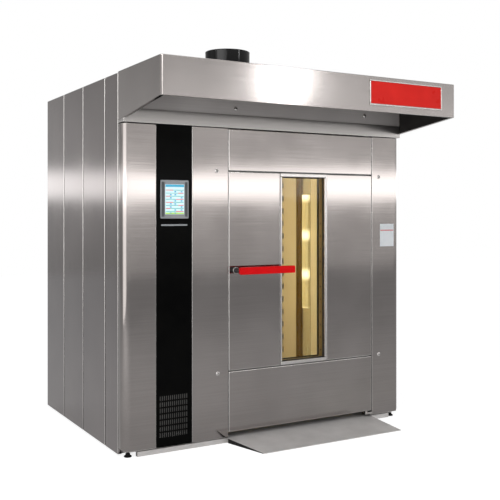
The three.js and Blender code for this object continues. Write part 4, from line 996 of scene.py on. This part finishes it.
dress(FASCIA_BLACK, "control_fascia")
piece("touch_bezel", touch_bezel(), "oven", BEZEL_SILVER, "silver", "touch_panel")
piece("bezel_side_grips", bezel_side_grips(), "oven", BEZEL_DARK, "dark_paint")
piece("screen_glass_plate", slab(inset(SCREEN, 0.3), (-11.3, -7.3), inset(SCREEN_HEIGHTS, 0.3), 0.5), "oven",
      SCREEN_PALE, "screen_glass", "touch_screen")
piece("display_head", display_bar((1612, 1627)), "oven", SCREEN_BLUE, "screen_glass")
piece("display_foot", display_bar((1448, 1457)), "oven", SCREEN_GREEN, "screen_glass")
reds, teals, tiles = display_rules()
piece("display_red_rules", reds, "oven", SCREEN_RED, "screen_glass")
piece("display_teal_rules", teals, "oven", SCREEN_TEAL, "screen_glass")
piece("display_tiles", tiles, "oven", SCREEN_BLUE, "screen_glass")
piece("column_bar", column_bar(), "oven", BEZEL_SILVER, "silver")
piece("inlet_vanes", inlet_vanes(), "oven", GRILLE_EDGE, "black_gloss")

# ---- screws, sign and plate

FRONT_SCREWS = [(623, 1718), (629, 448), (1911, 1709), (1911, 460), (758, 2116), (1785, 2132)]
SIGN = (1394, 1987)
SIGN_HEIGHTS = (2122, 2279)
SIGN_RIM = 9
SIGN_BACK = -550.2
PLATE = (1922, 2046)


def dome_screw(x, z):
    """A button-head screw on a thin washer, facing forward, with a round hole for its socket."""
    profile = [(3.6, -3.2), (3.9, -5.2), (6, -4.8), (10.3, -3), (11.5, -1.2), (13.3, -1.1), (13.5, -0.2),
               (3.6, -0.2)]
    return lathe(profile, (x, 0, z), axis="Y", steps=28)


def dome_socket(x, z):
    """The bottom of the screw's hexagon socket, near black: painted shade for the socket's depth."""
    return lathe(rectangle((0, 3.5), (-2.6, -1.6)), (x, 0, z), axis="Y", steps=6)


def back_screws():
    """Four columns of smaller screws without washers, on the back."""
    profile = [(0, 3.6), (3.4, 3.2), (5.8, 1.6), (6.4, 0.4), (6.4, -0.5), (0, -0.5)]
    return gather(*[lathe(profile, (x, BODY_DEPTH, z), axis="Y", steps=16)
                    for x in (52, 1024, 1076, 2048) for z in range(105, 2300, 348)])


piece("back_screws", back_screws(), "oven", TRIM_STEEL, "bright_steel")
# The domes are the paler edge steel: a painted highlight.
piece("front_screws", gather(*[dome_screw(x, z) for x, z in FRONT_SCREWS]), "oven", HIGHLIGHT_EDGE_STEEL, "bright_steel")
piece("front_screw_sockets", gather(*[dome_socket(x, z) for x, z in FRONT_SCREWS]), "oven", BLACK_STEEL_AND_SHADE,
      "black_steel")
sign_x, sign_z = inset(SIGN, SIGN_RIM), inset(SIGN_HEIGHTS, SIGN_RIM)
piece("sign_tray", frame_bars(sign_x, sign_z, (-556, SIGN_BACK), SIGN_RIM, SIGN_RIM, 1.5), "oven",
      UPRIGHT_TRIM, "silver")
piece("sign_face", slab(inset(sign_x, 0.3), (-554.5, SIGN_BACK), inset(sign_z, 0.3), 0.8), "oven", SIGN_RED,
      "red_plastic")
piece("pillar_plate", slab(PLATE, (-0.9, -0.1), (1219, 1378), 0.3), "oven", LABEL_WHITE, "silver")
piece("pillar_plate_stripe", slab(inset(PLATE, 4), (-1.2, -0.8), (1330, 1336), 0.1), "oven", LABEL_RED,
      "red_plastic")

# ---- entry ramp


def ramp_edge(side, rear, front):
    """A black strip on one sloping side of the ramp, from rear corner to front corner."""
    bm = bmesh.new()
    reach = -307
    corners = [(rear, 0, 1), (front, reach, 0.5), (front, reach, 3.5), (rear, 0, 28.5)]
    bm.faces.new([bm.verts.new(at(*corner)) for corner in corners])
    pushed(bm, (mm(side * 1.6), 0, 0))
    return bm


piece("ramp_plate", softened("entry_ramp", 1.2, angle=30), "oven", RAMP_GRIP, "grey_paint", "entry_ramp")
piece("ramp_side_strips", gather(ramp_edge(-1, 704.6, 779.6), ramp_edge(1, 1850.4, 1850.4)), "oven",
      BLACK_RUBBER_AND_JOINT_SHADE, "black_rubber")

# ---- baking chamber

LINING_HEIGHTS = (60, 1980)
LAMP = (839, 921)  # the lamp cover's span from front to back, on the right wall


def lamp_reflector():
    """A polished sheet on the right wall, in four strips round the lamp cover."""
    sheet = (1893.2, 1894.6)
    low, high = LINING_HEIGHTS
    beside = [slab(sheet, y, (low, high), 0.4) for y in ((824, 838.5), (921.5, 934))]
    past_ends = [slab(sheet, LAMP, z, 0.4) for z in ((low, 699), (1601, high))]
    return gather(*beside, *past_ends)


def wall_channel():
    """A pressed channel beside the lamps."""
    wall, crest, groove = 1894.6, 1876, 1883.5
    plan = [(wall, 938), (crest, 942), (crest, 951), (groove, 957), (groove, 994), (crest, 1000),
            (crest, 1009), (wall, 1013)]
    return prism(plan, "Z", LINING_HEIGHTS, None, 1.0)


# The lining's yellow is painted lamplight.
dress(LAMPLIT_LINING, "chamber_left_wall", "chamber_right_wall", "chamber_rear_wall", "chamber_ceiling",
      "chamber_front_frame")
dress(LINING_FLOOR, "chamber_floor")
dress(INSULATION, "heater_partition", "insulated_right_wall", "heater_chest")
dress(TRIM_STEEL, "heater_bank", "fan_impeller", "carrier_bearing", "rack_carrier")
dress(MOTOR_PAINT, "gear_motor", "fan_motor")
dress(LAMP_COVER, "chamber_lamp")
piece("lamp_reflector", lamp_reflector(), "oven", LINING_BRIGHT, "lining_steel")
# The channel's dark brown is painted shade.
piece("wall_channel", wall_channel(), "oven", LINING_CHANNEL_SHADE, "lining_steel")

chamber_glow = softbox("chamber_glow", at(720, 620, 1150), at(1890, 900, 1100), (0.8, 1.7), 50.0, "#fff0d8")
# It stands for the light of the small lamps behind the cover, so nothing shows it as a sheet.
chamber_glow.visible_camera = False
chamber_glow.visible_transmission = False
chamber_glow.visible_glossy = False
